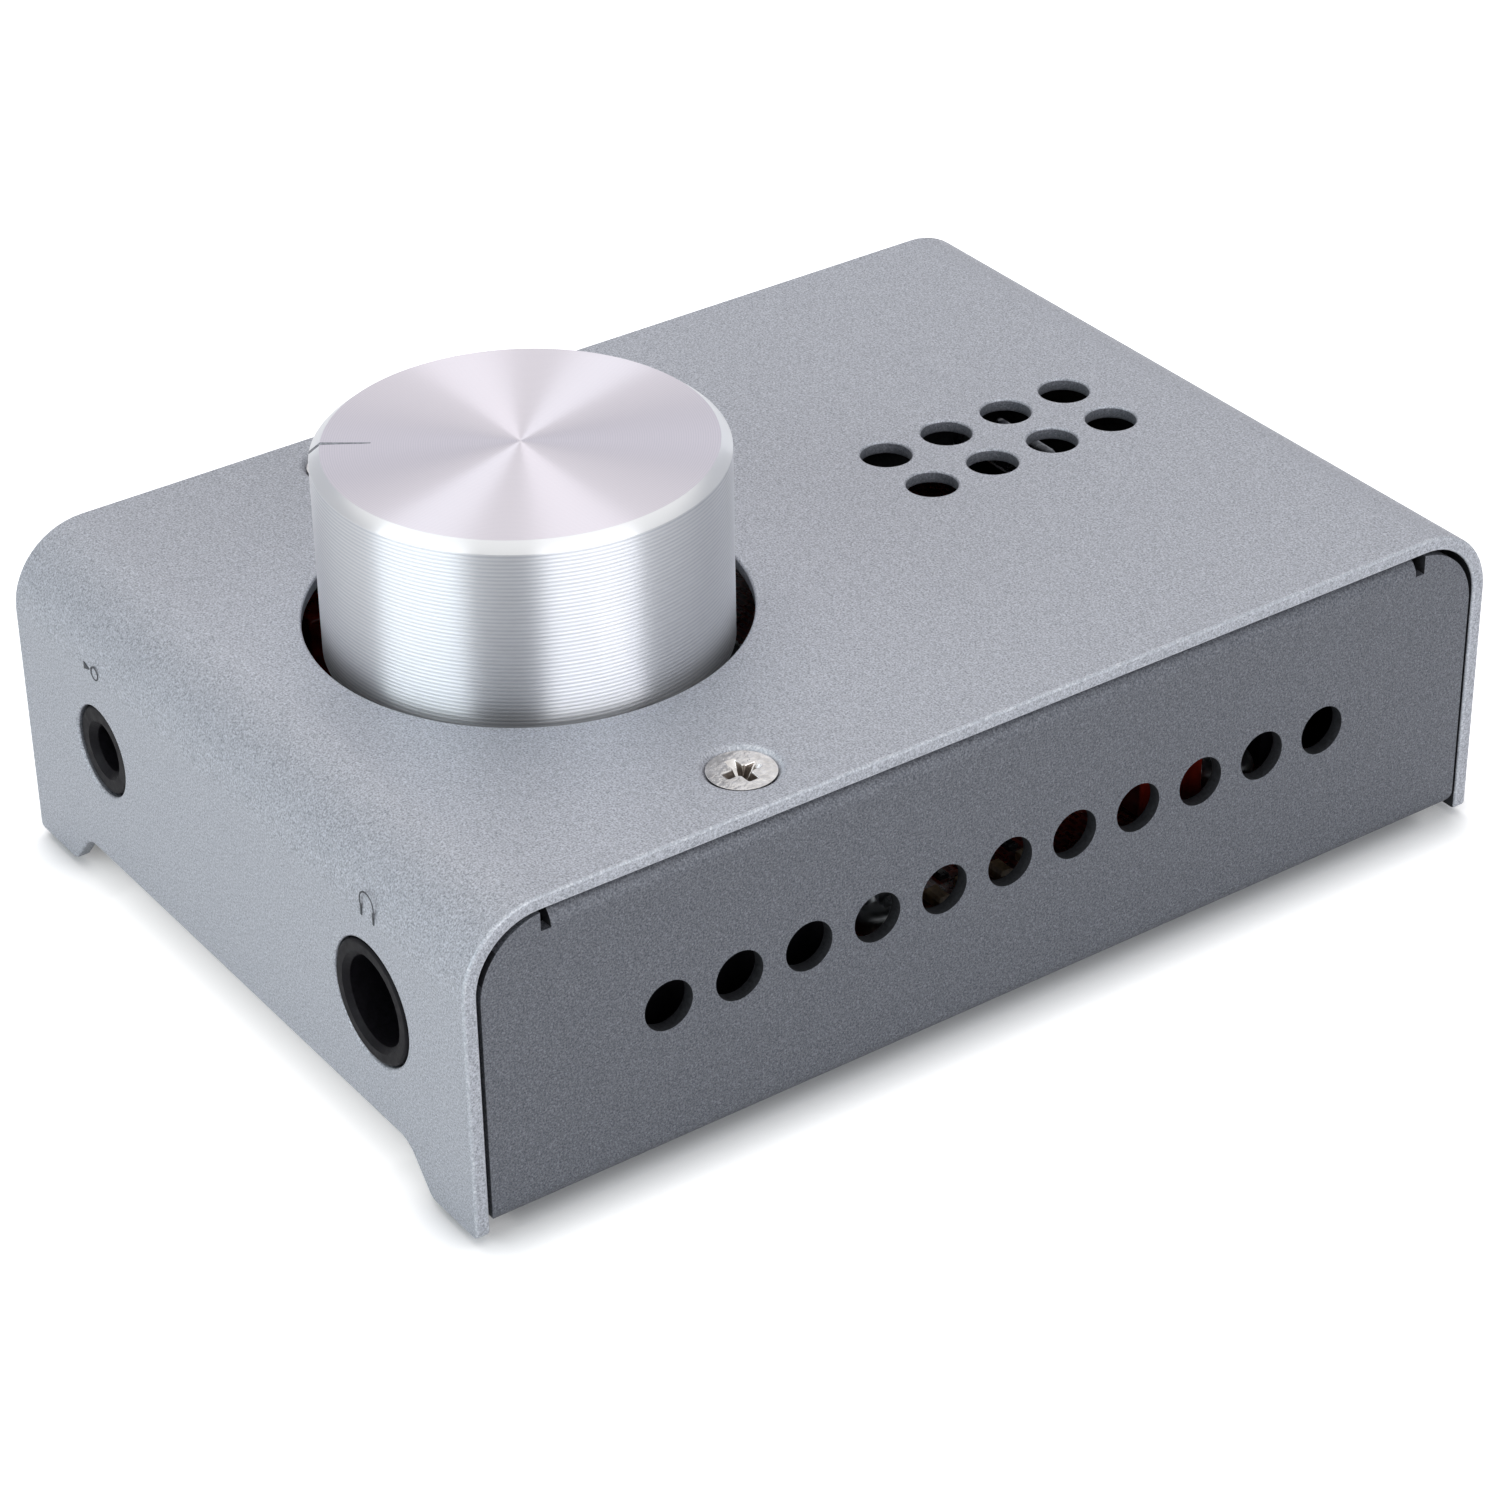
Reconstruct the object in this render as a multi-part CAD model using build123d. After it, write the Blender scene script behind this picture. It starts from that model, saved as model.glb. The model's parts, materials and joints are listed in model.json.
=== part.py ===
from build123d import *

import math
import os

# Desktop headphone amplifier: a folded aluminium cover over a folded steel chassis, with a
# turned volume knob through its top, two front jacks and five rear sockets on one board.
#
# Frame: millimetres, +X to the right seen from the front, +Y to the rear, +Z up.
# The origin is the middle of the footprint, on the surface that the rubber feet stand on.

# ---------------------------------------------------------------- driving dimensions
# Top cover: one sheet folded into front wall, top and rear wall
body_depth = 88.9
body_width = 62.3
cover_height = 25.3
cover_sheet = 1.1
cover_inner_bend = 5.0
cover_edge_break = 0.18
leg_reach = 0.4
leg_width = 5.7
leg_slope = 2.7
leg_corner_radius = 0.5
skirt_rise = 3.2
skirt_corner_radius = 1.0

# Bottom chassis: one sheet folded into floor plate, side panels and top flanges
chassis_sheet = 1.0
chassis_inner_bend = 0.5
side_recess = 0.1
panel_end_gap = 0.3
panel_top_gap = 0.2
panel_corner_extra = 0.4
panel_foot_radius = 1.2
plate_end_gap = 2.35
flange_width = 8.0
flange_end_inset = 5.58
notch_width = 0.8
notch_depth = 1.5

# Vents
top_vent_radius = 1.97
top_vent_pitch = 5.7
top_vent_columns = 4
top_vent_rows = 2
top_vent_rear_inset = 12.6
side_vent_radius = 1.95
side_vent_pitch = 5.77
side_vent_count = 11
side_vent_offset = 0.26
side_vent_rise = 12.09

# Rubber feet
foot_thickness = 1.0
foot_radius = 4.5
foot_side_inset = 12.05
foot_end_inset = 10.0

# Cover screws and the clinch nuts that they enter
screw_edge_inset = 4.85
screw_head_radius = 2.5
screw_shank_radius = 1.4
screw_head_sink = 0.25
screw_end_margin = 0.3
screw_cone_half_angle = 41.0
cross_reach = 1.45
cross_width = 0.8
cross_depth = 1.1
countersink_margin = 0.4
nut_radius = 2.5
nut_height = 1.6
nut_shank_radius = 2.0
nut_shank_sink = 0.4
thread_gap = 0.05
press_gap = 0.02

# Volume knob
knob_radius = 14.75
knob_setback = 25.36
knob_rise = 13.3
knob_sink = 2.3
knob_hole_gap = 1.38
knob_chamfer_width = 0.8
knob_chamfer_height = 0.67
knob_bore_depth = 11.5
knob_bore_gap = 0.03
knob_recess_outer_radius = 12.0
knob_recess_inner_radius = 6.5
knob_recess_depth = 2.5
marker_angle = -125.0
marker_start_radius = 10.4
marker_width = 0.45
marker_depth = 0.25
set_screw_radius = 1.5
set_screw_length = 5.0
set_screw_rise = 3.0
set_screw_turn = -90.0
set_screw_socket = 1.5
set_screw_socket_depth = 2.0

# Potentiometer
shaft_radius = 3.0
shaft_flat = 1.5
shaft_flat_length = 10.5
shaft_end_gap = 0.4
shaft_running_gap = 0.05
pot_width = 12.0
pot_wall = 0.8
pot_roof = 1.2
pot_wafer_thickness = 1.4
pot_wafer_gap = 0.1
pot_cavity_radius = 4.9
pot_turning_gap = 0.3
rotor_radius = 4.5
rotor_thickness = 1.8
wiper_thickness = 0.2
wiper_gap = 0.15
wiper_finger_width = 0.9
wiper_ring_radius = 3.9
bushing_flange_radius = 5.2
bushing_flange_thickness = 1.0
bushing_radius = 3.5
bushing_length = 5.0
pot_roof_hole_gap = 0.6
pot_terminal_radius = 0.4
pot_terminal_pitch = 2.5
pot_terminal_row = 3.8

# Circuit board and what holds it
board_thickness = 1.6
board_side_gap = 2.55
board_overhang = 0.5
board_corner_radius = 1.5
standoff_height = 3.6
standoff_radius = 2.5
standoff_edge_inset = 3.5
standoff_shank_radius = 2.1
standoff_front_inset = 6.0
standoff_jack_gap = 3.0
board_screw_radius = 1.4
board_screw_length = 4.0
board_screw_head_radius = 2.6
board_screw_head_height = 1.6
board_hole_gap = 0.15
lead_reach = 1.2
lead_hole_gap = 0.12

# Jacks: one large body, one small body used four times
headphone_axis_rise = 5.9
small_jack_axis_rise = 6.3
jack_face_gap = 0.3
headphone_nose_proud = 0.05
small_jack_nose_sink = 0.25
jack_nose_hole_gap = 0.12
jack_nose_chamfer = 0.25
jack_roof_chamfer = 1.6
headphone_side_gap = 3.25
headphone_width = 15.6
headphone_length = 31.5
headphone_roof = 5.2
headphone_nose_radius = 4.6
headphone_bore_radius = 3.3
headphone_bore_depth = 31.5
headphone_mouth_chamfer = 0.35
small_jack_width = 10.0
small_jack_length = 14.6
small_jack_roof = 4.4
small_jack_nose_radius = 3.45
small_jack_bore_radius = 1.8
small_jack_bore_depth = 14.6
small_jack_mouth_chamfer = 0.45
spring_thickness = 0.35
spring_bore_gap = 0.15
spring_pocket_gap = 0.2
spring_tail_width = 1.2
spring_tail_inset = 0.35
headphone_spring_width = 1.2
headphone_spring_length = 6.0
headphone_spring_starts = (6.0, 19.0)
small_spring_width = 0.7
small_spring_length = 3.6
small_spring_starts = (2.6, 8.8)

# Rear row of sockets
rear_jack_count = 3
rear_jack_pitch = 11.25
rear_port_gap = 1.5
usb_count = 2
usb_pitch = 9.0
usb_width = 7.6
usb_height = 2.7
usb_length = 5.6
usb_wall = 0.3
usb_corner = 0.9
usb_face_sink = 0.3
usb_slot_gap = 0.35
usb_tongue_width = 3.6
usb_tongue_thickness = 0.6
usb_tongue_reach = 3.6
usb_tongue_drop = 0.35
usb_back_thickness = 1.2
usb_contact_count = 5
usb_contact_pitch = 0.65
usb_contact_width = 0.35
usb_contact_thickness = 0.15
usb_leg_width = 1.0
usb_insert_gap = 0.02

# Parts that stand on the board: length along X, width along Y, height
soic_size = (5.0, 4.0, 1.6)
soic_pins_per_side = 4
dac_size = (9.0, 9.0, 1.2)
dac_pins_per_side = 10
controller_size = (7.0, 7.0, 1.0)
controller_pins_per_side = 8
pin_width = 0.4
pin_thickness = 0.2
pin_reach = 1.0
soic_pin_pitch = 1.2
fine_pin_pitch = 0.8
regulator_size = (6.5, 3.5, 1.7)
crystal_size = (5.0, 3.2, 1.2)
inductor_size = (6.0, 6.0, 3.0)
film_size = (3.0, 6.0, 7.5)
front_film_size = (6.0, 3.0, 12.0)
ceramic_size = (2.0, 1.25, 0.9)
resistor_size = (1.6, 0.8, 0.5)
part_corner = 0.3
can_radius = 3.8
can_height = 13.0
can_pitch_x = 9.0
can_pitch_y = 9.5
can_first_x = 4.5
can_lead_pitch = 3.5
can_lead_radius = 0.3
can_vent_width = 0.4
can_vent_depth = 0.3
can_rim = 0.5
sleeve_gap = 0.05
sleeve_thickness = 0.15
part_gap = 1.9
front_film_gap = 1.1
amplifier_pitch = 7.0
amplifier_screw_gap = 2.4
inductor_pitch = 7.2
inductor_screw_gap = 1.35
inductor_side_inset = 4.0
crystal_side_offset = 9.7
crystal_rear_offset = 2.6
crystal_front_offset = 2.9

# ---------------------------------------------------------------- derived places
z_plate_low = foot_thickness
z_plate = z_plate_low + chassis_sheet
z_leg = z_plate_low - leg_reach
z_top = z_leg + cover_height
z_under = z_top - cover_sheet
z_skirt = z_leg + skirt_rise
z_panel = z_under - panel_top_gap
z_flange_low = z_panel - chassis_sheet
z_board_low = z_plate + standoff_height
z_board = z_board_low + board_thickness
z_headphone = z_board + headphone_axis_rise
z_small_jack = z_board + small_jack_axis_rise
z_lead_end = z_board_low - lead_reach
z_knob_low = z_top - knob_sink
z_knob = z_top + knob_rise
z_head = z_top - screw_head_sink
z_nut_low = z_flange_low - nut_height
z_set_screw = z_top + set_screw_rise

cover_half = body_depth / 2
cover_inner_half = cover_half - cover_sheet
panel_half = cover_inner_half - panel_end_gap
plate_half = cover_inner_half - plate_end_gap
flange_half = panel_half - flange_end_inset
panel_outer_x = body_width / 2 - side_recess
panel_inner_x = panel_outer_x - chassis_sheet
flange_inner_x = panel_outer_x - flange_width
board_half_width = panel_inner_x - board_side_gap
board_half_depth = plate_half + board_overhang
jack_face = cover_inner_half - jack_face_gap

knob_y = knob_setback - cover_half
screw_x = body_width / 2 - screw_edge_inset
cone_slope = math.tan(math.radians(screw_cone_half_angle))
knob_hole_radius = knob_radius + knob_hole_gap
countersink_radius = screw_head_radius + countersink_margin

headphone_x = panel_inner_x - headphone_side_gap - headphone_width / 2
microphone_x = -headphone_x
headphone_nose = jack_face_gap + cover_sheet + headphone_nose_proud
small_jack_nose = jack_face_gap + cover_sheet - small_jack_nose_sink
headphone_end = headphone_length - jack_face
small_jack_end = small_jack_length - jack_face
rear_jack_start = -small_jack_end

rear_row_width = (
    (rear_jack_count - 1) * rear_jack_pitch + small_jack_width + rear_port_gap
    + (usb_count - 1) * usb_pitch + usb_width
)
rear_jack_first_x = rear_row_width / 2 - small_jack_width / 2
rear_jack_xs = [rear_jack_first_x - i * rear_jack_pitch for i in range(rear_jack_count)]
usb_first_x = rear_jack_xs[-1] - small_jack_width / 2 - rear_port_gap - usb_width / 2
usb_xs = [usb_first_x - i * usb_pitch for i in range(usb_count)]
usb_face = cover_half - usb_face_sink

standoff_x = board_half_width - standoff_edge_inset
standoff_middle_y = headphone_end + standoff_jack_gap + standoff_radius
standoff_rear_y = rear_jack_start - board_screw_head_radius - jack_face_gap
standoff_places = [
    (0, standoff_front_inset - jack_face),
    (standoff_x, standoff_middle_y),
    (-standoff_x, standoff_middle_y),
    (standoff_x, standoff_rear_y),
    (-standoff_x, standoff_rear_y),
]

can_rear_y = rear_jack_start - part_gap - can_radius
can_places = [
    (can_first_x + i * can_pitch_x, can_rear_y - j * can_pitch_y)
    for i in range(2)
    for j in range(2)
]
amplifier_y = headphone_end + part_gap + soic_size[1] / 2
amplifier_last_x = (
    standoff_x - board_screw_head_radius - amplifier_screw_gap - soic_size[0] / 2
)
amplifier_places = [
    (amplifier_last_x - amplifier_pitch, amplifier_y),
    (amplifier_last_x, amplifier_y),
]
microphone_chip_place = (-10.5, -24.0)
dac_place = (-9.0, 2.0)
controller_place = (-14.0, rear_jack_start - 2 * part_gap - controller_size[1] / 2 - pin_reach)
regulator_places = [(-21.0, 3.0), (-21.0, 8.5)]
crystal_x = controller_place[0] + crystal_side_offset
crystal_places = [
    (crystal_x, controller_place[1] + crystal_rear_offset),
    (crystal_x, controller_place[1] - crystal_front_offset),
]
inductor_x = inductor_side_inset + inductor_size[0] / 2 - board_half_width
inductor_y = (
    standoff_middle_y - board_screw_head_radius - inductor_screw_gap - inductor_size[1] / 2
)
inductor_places = [(inductor_x, inductor_y), (inductor_x, inductor_y - inductor_pitch)]
film_edge_x = board_half_width - part_gap - film_size[0] / 2
film_edge_y = standoff_rear_y - board_screw_head_radius - part_corner - film_size[1] / 2
film_places = [(film_edge_x, film_edge_y), (-film_edge_x, film_edge_y)]
front_film_y = small_jack_length + front_film_size[1] / 2 + front_film_gap - jack_face
front_film_place = (inductor_x, front_film_y)
resistor_columns_x = (19.6, 22.4)
resistor_rows = 5
resistor_row_pitch = 2.1
ceramic_column_x = 25.2
ceramic_rows = 4
ceramic_row_pitch = 2.8
small_rows_y = standoff_middle_y + board_screw_head_radius + part_gap

# Potentiometer levels, from the board's face upwards
z_wafer = z_board + pot_wafer_thickness
z_wiper = z_wafer + wiper_gap
z_rotor_low = z_wiper + wiper_thickness
z_rotor = z_rotor_low + rotor_thickness
z_pot_ceiling = z_rotor + pot_turning_gap
z_pot_roof = z_pot_ceiling + pot_roof
z_bushing_flange = z_pot_roof + bushing_flange_thickness
z_bushing = z_bushing_flange + bushing_length
z_shaft = z_knob_low + knob_bore_depth - shaft_end_gap


# ---------------------------------------------------------------- shape helpers
def block(x0, x1, y0, y1, z0, z1):
    """A box between two corners."""
    middle = Pos((x0 + x1) / 2, (y0 + y1) / 2, (z0 + z1) / 2)
    return middle * Box(x1 - x0, y1 - y0, z1 - z0)


def part_block(place, size, z_low):
    """A box of a given size that stands on z_low over a place on the board."""
    x, y = place
    length, width, height = size
    return block(
        x - length / 2, x + length / 2, y - width / 2, y + width / 2, z_low, z_low + height
    )


def rod_z(x, y, z0, z1, radius):
    """An upright cylinder."""
    return Pos(x, y, (z0 + z1) / 2) * Cylinder(radius, z1 - z0)


def rod_y(x, z, y0, y1, radius):
    """A cylinder along Y."""
    return Pos(x, (y0 + y1) / 2, z) * Rot(90, 0, 0) * Cylinder(radius, y1 - y0)


def rod_x(y, z, x0, x1, radius):
    """A cylinder along X."""
    return Pos((x0 + x1) / 2, y, z) * Rot(0, 90, 0) * Cylinder(radius, x1 - x0)


def upright_outline(half, low, high, top_radius, foot_radius=0):
    """A rectangle centred on the upright axis, with its upper and lower corners rounded."""
    outline = Pos(0, (low + high) / 2) * Rectangle(2 * half, high - low)
    rows = outline.vertices().group_by(Axis.Y)
    if top_radius > 0:
        outline = fillet(rows[-1], top_radius)
    if foot_radius > 0:
        outline = fillet(outline.vertices().group_by(Axis.Y)[0], foot_radius)
    return outline


def mirrored_pair(solid):
    """A solid and its mirror image on the other side of the middle plane."""
    return [solid, mirror(solid, Plane.YZ)]


def write(name, solids):
    """Writes one node: a single solid, or a group of separate ones."""
    group = solids if isinstance(solids, list) else [solids]
    singles = [one for shape in group for one in shape.solids()]
    shape = singles[0] if len(singles) == 1 else Compound(children=singles)
    export_step(shape, os.path.join("parts", name + ".step"))


# ---------------------------------------------------------------- casing
def skirt_cutter():
    """The opening between the legs, cut through the front and rear walls."""
    foot_x = body_width / 2 - leg_width
    skirt_x = foot_x - leg_slope
    below = z_leg - skirt_rise
    outline = Polygon(
        (-foot_x, below), (foot_x, below), (foot_x, z_leg), (skirt_x, z_skirt),
        (-skirt_x, z_skirt), (-foot_x, z_leg), align=None,
    )
    outline = fillet(outline.vertices().group_by(Axis.Y)[-1], skirt_corner_radius)
    return extrude(Plane.XZ * outline, body_depth, both=True)


def top_cover():
    outside = upright_outline(cover_half, z_leg, z_top, cover_inner_bend + cover_sheet)
    inside = upright_outline(
        cover_inner_half, z_leg - cover_sheet, z_under, cover_inner_bend
    )
    cover = extrude(Plane.YZ * (outside - inside), body_width / 2, both=True)
    cover -= skirt_cutter()
    leg_edges = cover.edges().filter_by(Axis.Y).group_by(Axis.Z)[0]
    cover = fillet(leg_edges, leg_corner_radius)
    cover = fillet(long_side_edges(cover), cover_edge_break)
    cover -= rod_z(0, knob_y, z_under - 1, z_top + 1, knob_hole_radius)
    for x, y in top_vent_places():
        cover -= rod_z(x, y, z_under - 1, z_top + 1, top_vent_radius)
    for x in (-screw_x, screw_x):
        cover -= countersink(x)
    wall = (-cover_half - 1, -cover_inner_half + 1)
    cover -= rod_y(headphone_x, z_headphone, *wall, headphone_nose_radius + jack_nose_hole_gap)
    cover -= rod_y(microphone_x, z_small_jack, *wall, small_jack_nose_radius + jack_nose_hole_gap)
    wall = (cover_inner_half - 1, cover_half + 1)
    for x in rear_jack_xs:
        cover -= rod_y(x, z_small_jack, *wall, small_jack_nose_radius + jack_nose_hole_gap)
    for x in usb_xs:
        cover -= usb_slot(x)
    return cover


def long_side_edges(cover):
    """The outer edges of the two cut sides, from leg to leg over the top."""
    edges = cover.edges().filter_by(
        lambda edge: abs(abs(edge.center().X) - body_width / 2) < 1e-6
        and abs(edge.bounding_box().size.X) < 1e-6
    )
    return edges.filter_by(lambda edge: edge_is_outside(edge))


def edge_is_outside(edge):
    """True for an edge that lies on the cover's outer skin, away from the leg ends."""
    middle = edge @ 0.5
    near_wall = abs(abs(middle.Y) - cover_half) < 1e-6
    near_top = abs(middle.Z - z_top) < 1e-6
    bend_centre = Vector(0, cover_inner_half - cover_inner_bend, z_under - cover_inner_bend)
    arm = Vector(0, abs(middle.Y), middle.Z) - bend_centre
    in_corner = middle.Z > bend_centre.Z and abs(middle.Y) > bend_centre.Y
    on_bend = in_corner and arm.length > cover_inner_bend + cover_sheet / 2
    return near_wall or near_top or on_bend


def top_vent_places():
    """Centres of the round vents in the top, in rows along the depth."""
    last_y = cover_half - top_vent_rear_inset
    return [
        ((row - (top_vent_rows - 1) / 2) * top_vent_pitch, last_y - column * top_vent_pitch)
        for row in range(top_vent_rows)
        for column in range(top_vent_columns)
    ]


def countersink(x):
    """The cone that takes a cover screw's head."""
    depth = cover_sheet + 2 * thread_gap
    low_radius = countersink_radius - depth * cone_slope
    cone = Pos(x, knob_y, z_top - depth / 2) * Cone(low_radius, countersink_radius, depth)
    return cone + rod_z(x, knob_y, z_top, z_top + 1, countersink_radius)


def usb_slot(x):
    """The rounded slot in the rear wall round a micro USB shell."""
    slot = block(
        x - usb_width / 2 - usb_slot_gap, x + usb_width / 2 + usb_slot_gap,
        cover_inner_half - 1, cover_half + 1,
        z_board - usb_slot_gap, z_board + usb_height + usb_slot_gap,
    )
    return fillet(slot.edges().filter_by(Axis.Y), usb_corner)


def bottom_chassis():
    corner = chassis_inner_bend + chassis_sheet
    outside = upright_outline(panel_outer_x, z_plate_low, z_panel, corner, corner)
    inside = upright_outline(
        panel_inner_x, z_plate, z_flange_low, chassis_inner_bend, chassis_inner_bend
    )
    middle = extrude(Plane.XZ * (outside - inside), flange_half, both=True)
    middle -= block(
        -flange_inner_x, flange_inner_x, -body_depth, body_depth, z_flange_low - 1, z_top
    )
    outside = upright_outline(panel_outer_x, z_plate_low, z_panel, 0, corner)
    inside = upright_outline(panel_inner_x, z_plate, z_top, 0, chassis_inner_bend)
    tray = extrude(Plane.XZ * (outside - inside), plate_half, both=True)
    tray -= block(
        -body_width, body_width, -flange_half, flange_half, z_plate_low - 1, z_top
    )
    chassis = middle + tray
    for end in mirrored_pair(
        block(panel_inner_x, panel_outer_x, flange_half, panel_half, z_plate + corner, z_panel)
    ):
        chassis += end
        chassis += mirror(end, Plane.XZ)
    for end in mirrored_pair(
        block(panel_inner_x, panel_outer_x, plate_half, panel_half, z_plate_low, z_panel)
    ):
        chassis += end
        chassis += mirror(end, Plane.XZ)
    side_outline = upright_outline(
        panel_half, z_plate_low, z_panel,
        cover_inner_bend + panel_corner_extra, panel_foot_radius,
    )
    chassis &= extrude(Plane.YZ * side_outline, body_width, both=True)
    for notch in bend_reliefs():
        chassis -= notch
    middle_vent = (side_vent_count - 1) / 2
    for i in range(side_vent_count):
        y = side_vent_offset + (i - middle_vent) * side_vent_pitch
        chassis -= rod_x(
            y, z_plate_low + side_vent_rise, -body_width, body_width, side_vent_radius
        )
    for x in (-screw_x, screw_x):
        chassis -= rod_z(x, knob_y, z_flange_low - 1, z_top, nut_shank_radius + press_gap)
    for x, y in standoff_places:
        chassis -= rod_z(x, y, 0, z_plate + 1, standoff_shank_radius + press_gap)
    return chassis


def bend_reliefs():
    """Slots at both ends of each top flange, which let its bend form cleanly."""
    slot = block(
        panel_outer_x - flange_width - 1, body_width,
        flange_half, flange_half + notch_width,
        z_panel - notch_depth, z_top,
    )
    pair = mirrored_pair(slot)
    return pair + [mirror(one, Plane.XZ) for one in pair]


def clinch_nut(x):
    """A round nut pressed into the flange from below."""
    nut = rod_z(x, knob_y, z_nut_low, z_flange_low, nut_radius)
    nut += rod_z(x, knob_y, z_flange_low, z_panel - nut_shank_sink, nut_shank_radius)
    return nut - rod_z(x, knob_y, z_nut_low - 1, z_panel, screw_shank_radius + thread_gap)


def cross_recess(x, y, z_face, reach, width, depth):
    """A cross-shaped driver recess that narrows as it goes down."""
    arms = Box(2 * reach, width, 2 * depth) + Box(width, 2 * reach, 2 * depth)
    taper = Pos(0, 0, -depth / 2) * Cone(width / 2, reach, depth)
    return Pos(x, y, z_face) * (arms & taper)


def cover_screw(x):
    """A flat-head machine screw that clamps the cover to a flange."""
    cone_height = (screw_head_radius - screw_shank_radius) / cone_slope
    cone = Pos(x, knob_y, z_head - cone_height / 2) * Cone(
        screw_shank_radius, screw_head_radius, cone_height
    )
    shank = rod_z(x, knob_y, z_nut_low - screw_end_margin, z_head - cone_height / 2,
                  screw_shank_radius)
    return cone + shank - cross_recess(
        x, knob_y, z_head, cross_reach, cross_width, cross_depth
    )


def rubber_feet():
    x = panel_outer_x - foot_side_inset
    y = plate_half - foot_end_inset
    feet = []
    for sx in (-1, 1):
        for sy in (-1, 1):
            foot = rod_z(sx * x, sy * y, 0, z_plate_low, foot_radius)
            feet.append(chamfer(foot.edges().group_by(Axis.Z)[0], foot_thickness / 4))
    return feet


# ---------------------------------------------------------------- knob and potentiometer
def at_angle(solid, degrees):
    """Turns a solid made along +X about the knob's axis to its bearing."""
    return Pos(0, knob_y, 0) * Rot(0, 0, degrees) * solid


def volume_knob():
    rim = knob_radius - knob_chamfer_width
    shoulder = z_knob - knob_chamfer_height
    half_profile = Polygon(
        (0, z_knob_low), (knob_radius, z_knob_low), (knob_radius, shoulder),
        (rim, z_knob), (0, z_knob), align=None,
    )
    knob = Pos(0, knob_y, 0) * revolve(Plane.XZ * half_profile, Axis.Z)
    knob -= rod_z(0, knob_y, z_knob_low - 1, z_knob_low + knob_bore_depth,
                  shaft_radius + knob_bore_gap)
    recess = rod_z(0, knob_y, z_knob_low - 1, z_knob_low + knob_recess_depth,
                   knob_recess_outer_radius)
    recess -= rod_z(0, knob_y, z_knob_low - 1, z_knob, knob_recess_inner_radius)
    knob -= recess
    knob -= at_angle(
        rod_x(0, z_set_screw, 0, knob_radius + 1, set_screw_radius + thread_gap),
        marker_angle + set_screw_turn,
    )
    knob -= at_angle(
        block(marker_start_radius, knob_radius + 1, -marker_width / 2, marker_width / 2,
              z_knob - marker_depth, z_knob + 1),
        marker_angle,
    )
    return knob


def knob_set_screw():
    start = shaft_flat + press_gap
    end = start + set_screw_length
    screw = rod_x(0, z_set_screw, start, end, set_screw_radius)
    hexagon = RegularPolygon(set_screw_socket / 2, 6, major_radius=False)
    socket = extrude(Plane.YZ.offset(end) * hexagon, -set_screw_socket_depth)
    screw -= Pos(0, 0, z_set_screw) * socket
    return at_angle(screw, marker_angle + set_screw_turn)


def pot_shaft():
    shaft = rod_z(0, 0, z_rotor_low, z_shaft, shaft_radius)
    shaft -= block(
        shaft_flat, shaft_radius + 1, -shaft_radius, shaft_radius,
        z_shaft - shaft_flat_length, z_shaft + 1,
    )
    return at_angle(shaft, marker_angle + set_screw_turn)


def pot_rotor():
    rotor = rod_z(0, knob_y, z_rotor_low, z_rotor, rotor_radius)
    return rotor - rod_z(0, knob_y, 0, z_top, shaft_radius + press_gap)


def pot_wiper():
    """A spring ring under the rotor with two fingers that reach out over the track."""
    ring = rod_z(0, 0, z_wiper, z_rotor_low, wiper_ring_radius - wiper_finger_width)
    ring -= rod_z(0, 0, 0, z_top, wiper_ring_radius - 2 * wiper_finger_width)
    for side in (-1, 1):
        ring += block(
            0, wiper_ring_radius, side * wiper_finger_width - wiper_finger_width / 3,
            side * wiper_finger_width + wiper_finger_width / 3, z_wiper, z_rotor_low,
        ) - rod_z(0, 0, 0, z_top, wiper_ring_radius - 2 * wiper_finger_width)
    return at_angle(ring, marker_angle)


def pot_housing():
    half = pot_width / 2
    housing = block(-half, half, -half, half, z_board, z_pot_roof)
    housing = fillet(housing.edges().filter_by(Axis.Z), pot_wall)
    pocket = half - pot_wall
    housing -= block(-pocket, pocket, -pocket, pocket, z_board - 1, z_wafer + pot_wafer_gap)
    housing -= rod_z(0, 0, z_board, z_pot_ceiling, pot_cavity_radius)
    housing -= rod_z(0, 0, z_board, z_pot_roof + 1, shaft_radius + pot_roof_hole_gap)
    return Pos(0, knob_y, 0) * housing


def pot_track():
    """The phenolic wafer that carries the resistive track."""
    half = pot_width / 2 - pot_wall - pot_wafer_gap
    return Pos(0, knob_y, 0) * block(-half, half, -half, half, z_board, z_wafer)


def pot_bushing():
    bushing = rod_z(0, knob_y, z_pot_roof, z_bushing_flange, bushing_flange_radius)
    bushing += rod_z(0, knob_y, z_bushing_flange, z_bushing, bushing_radius)
    return bushing - rod_z(0, knob_y, 0, z_top, shaft_radius + shaft_running_gap)


def pot_terminal_places():
    """Two rows of three terminals, one row for each channel."""
    return [
        (column * pot_terminal_pitch, knob_y + row * pot_terminal_row)
        for column in (-1, 0, 1)
        for row in (-1, 1)
    ]


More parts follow.
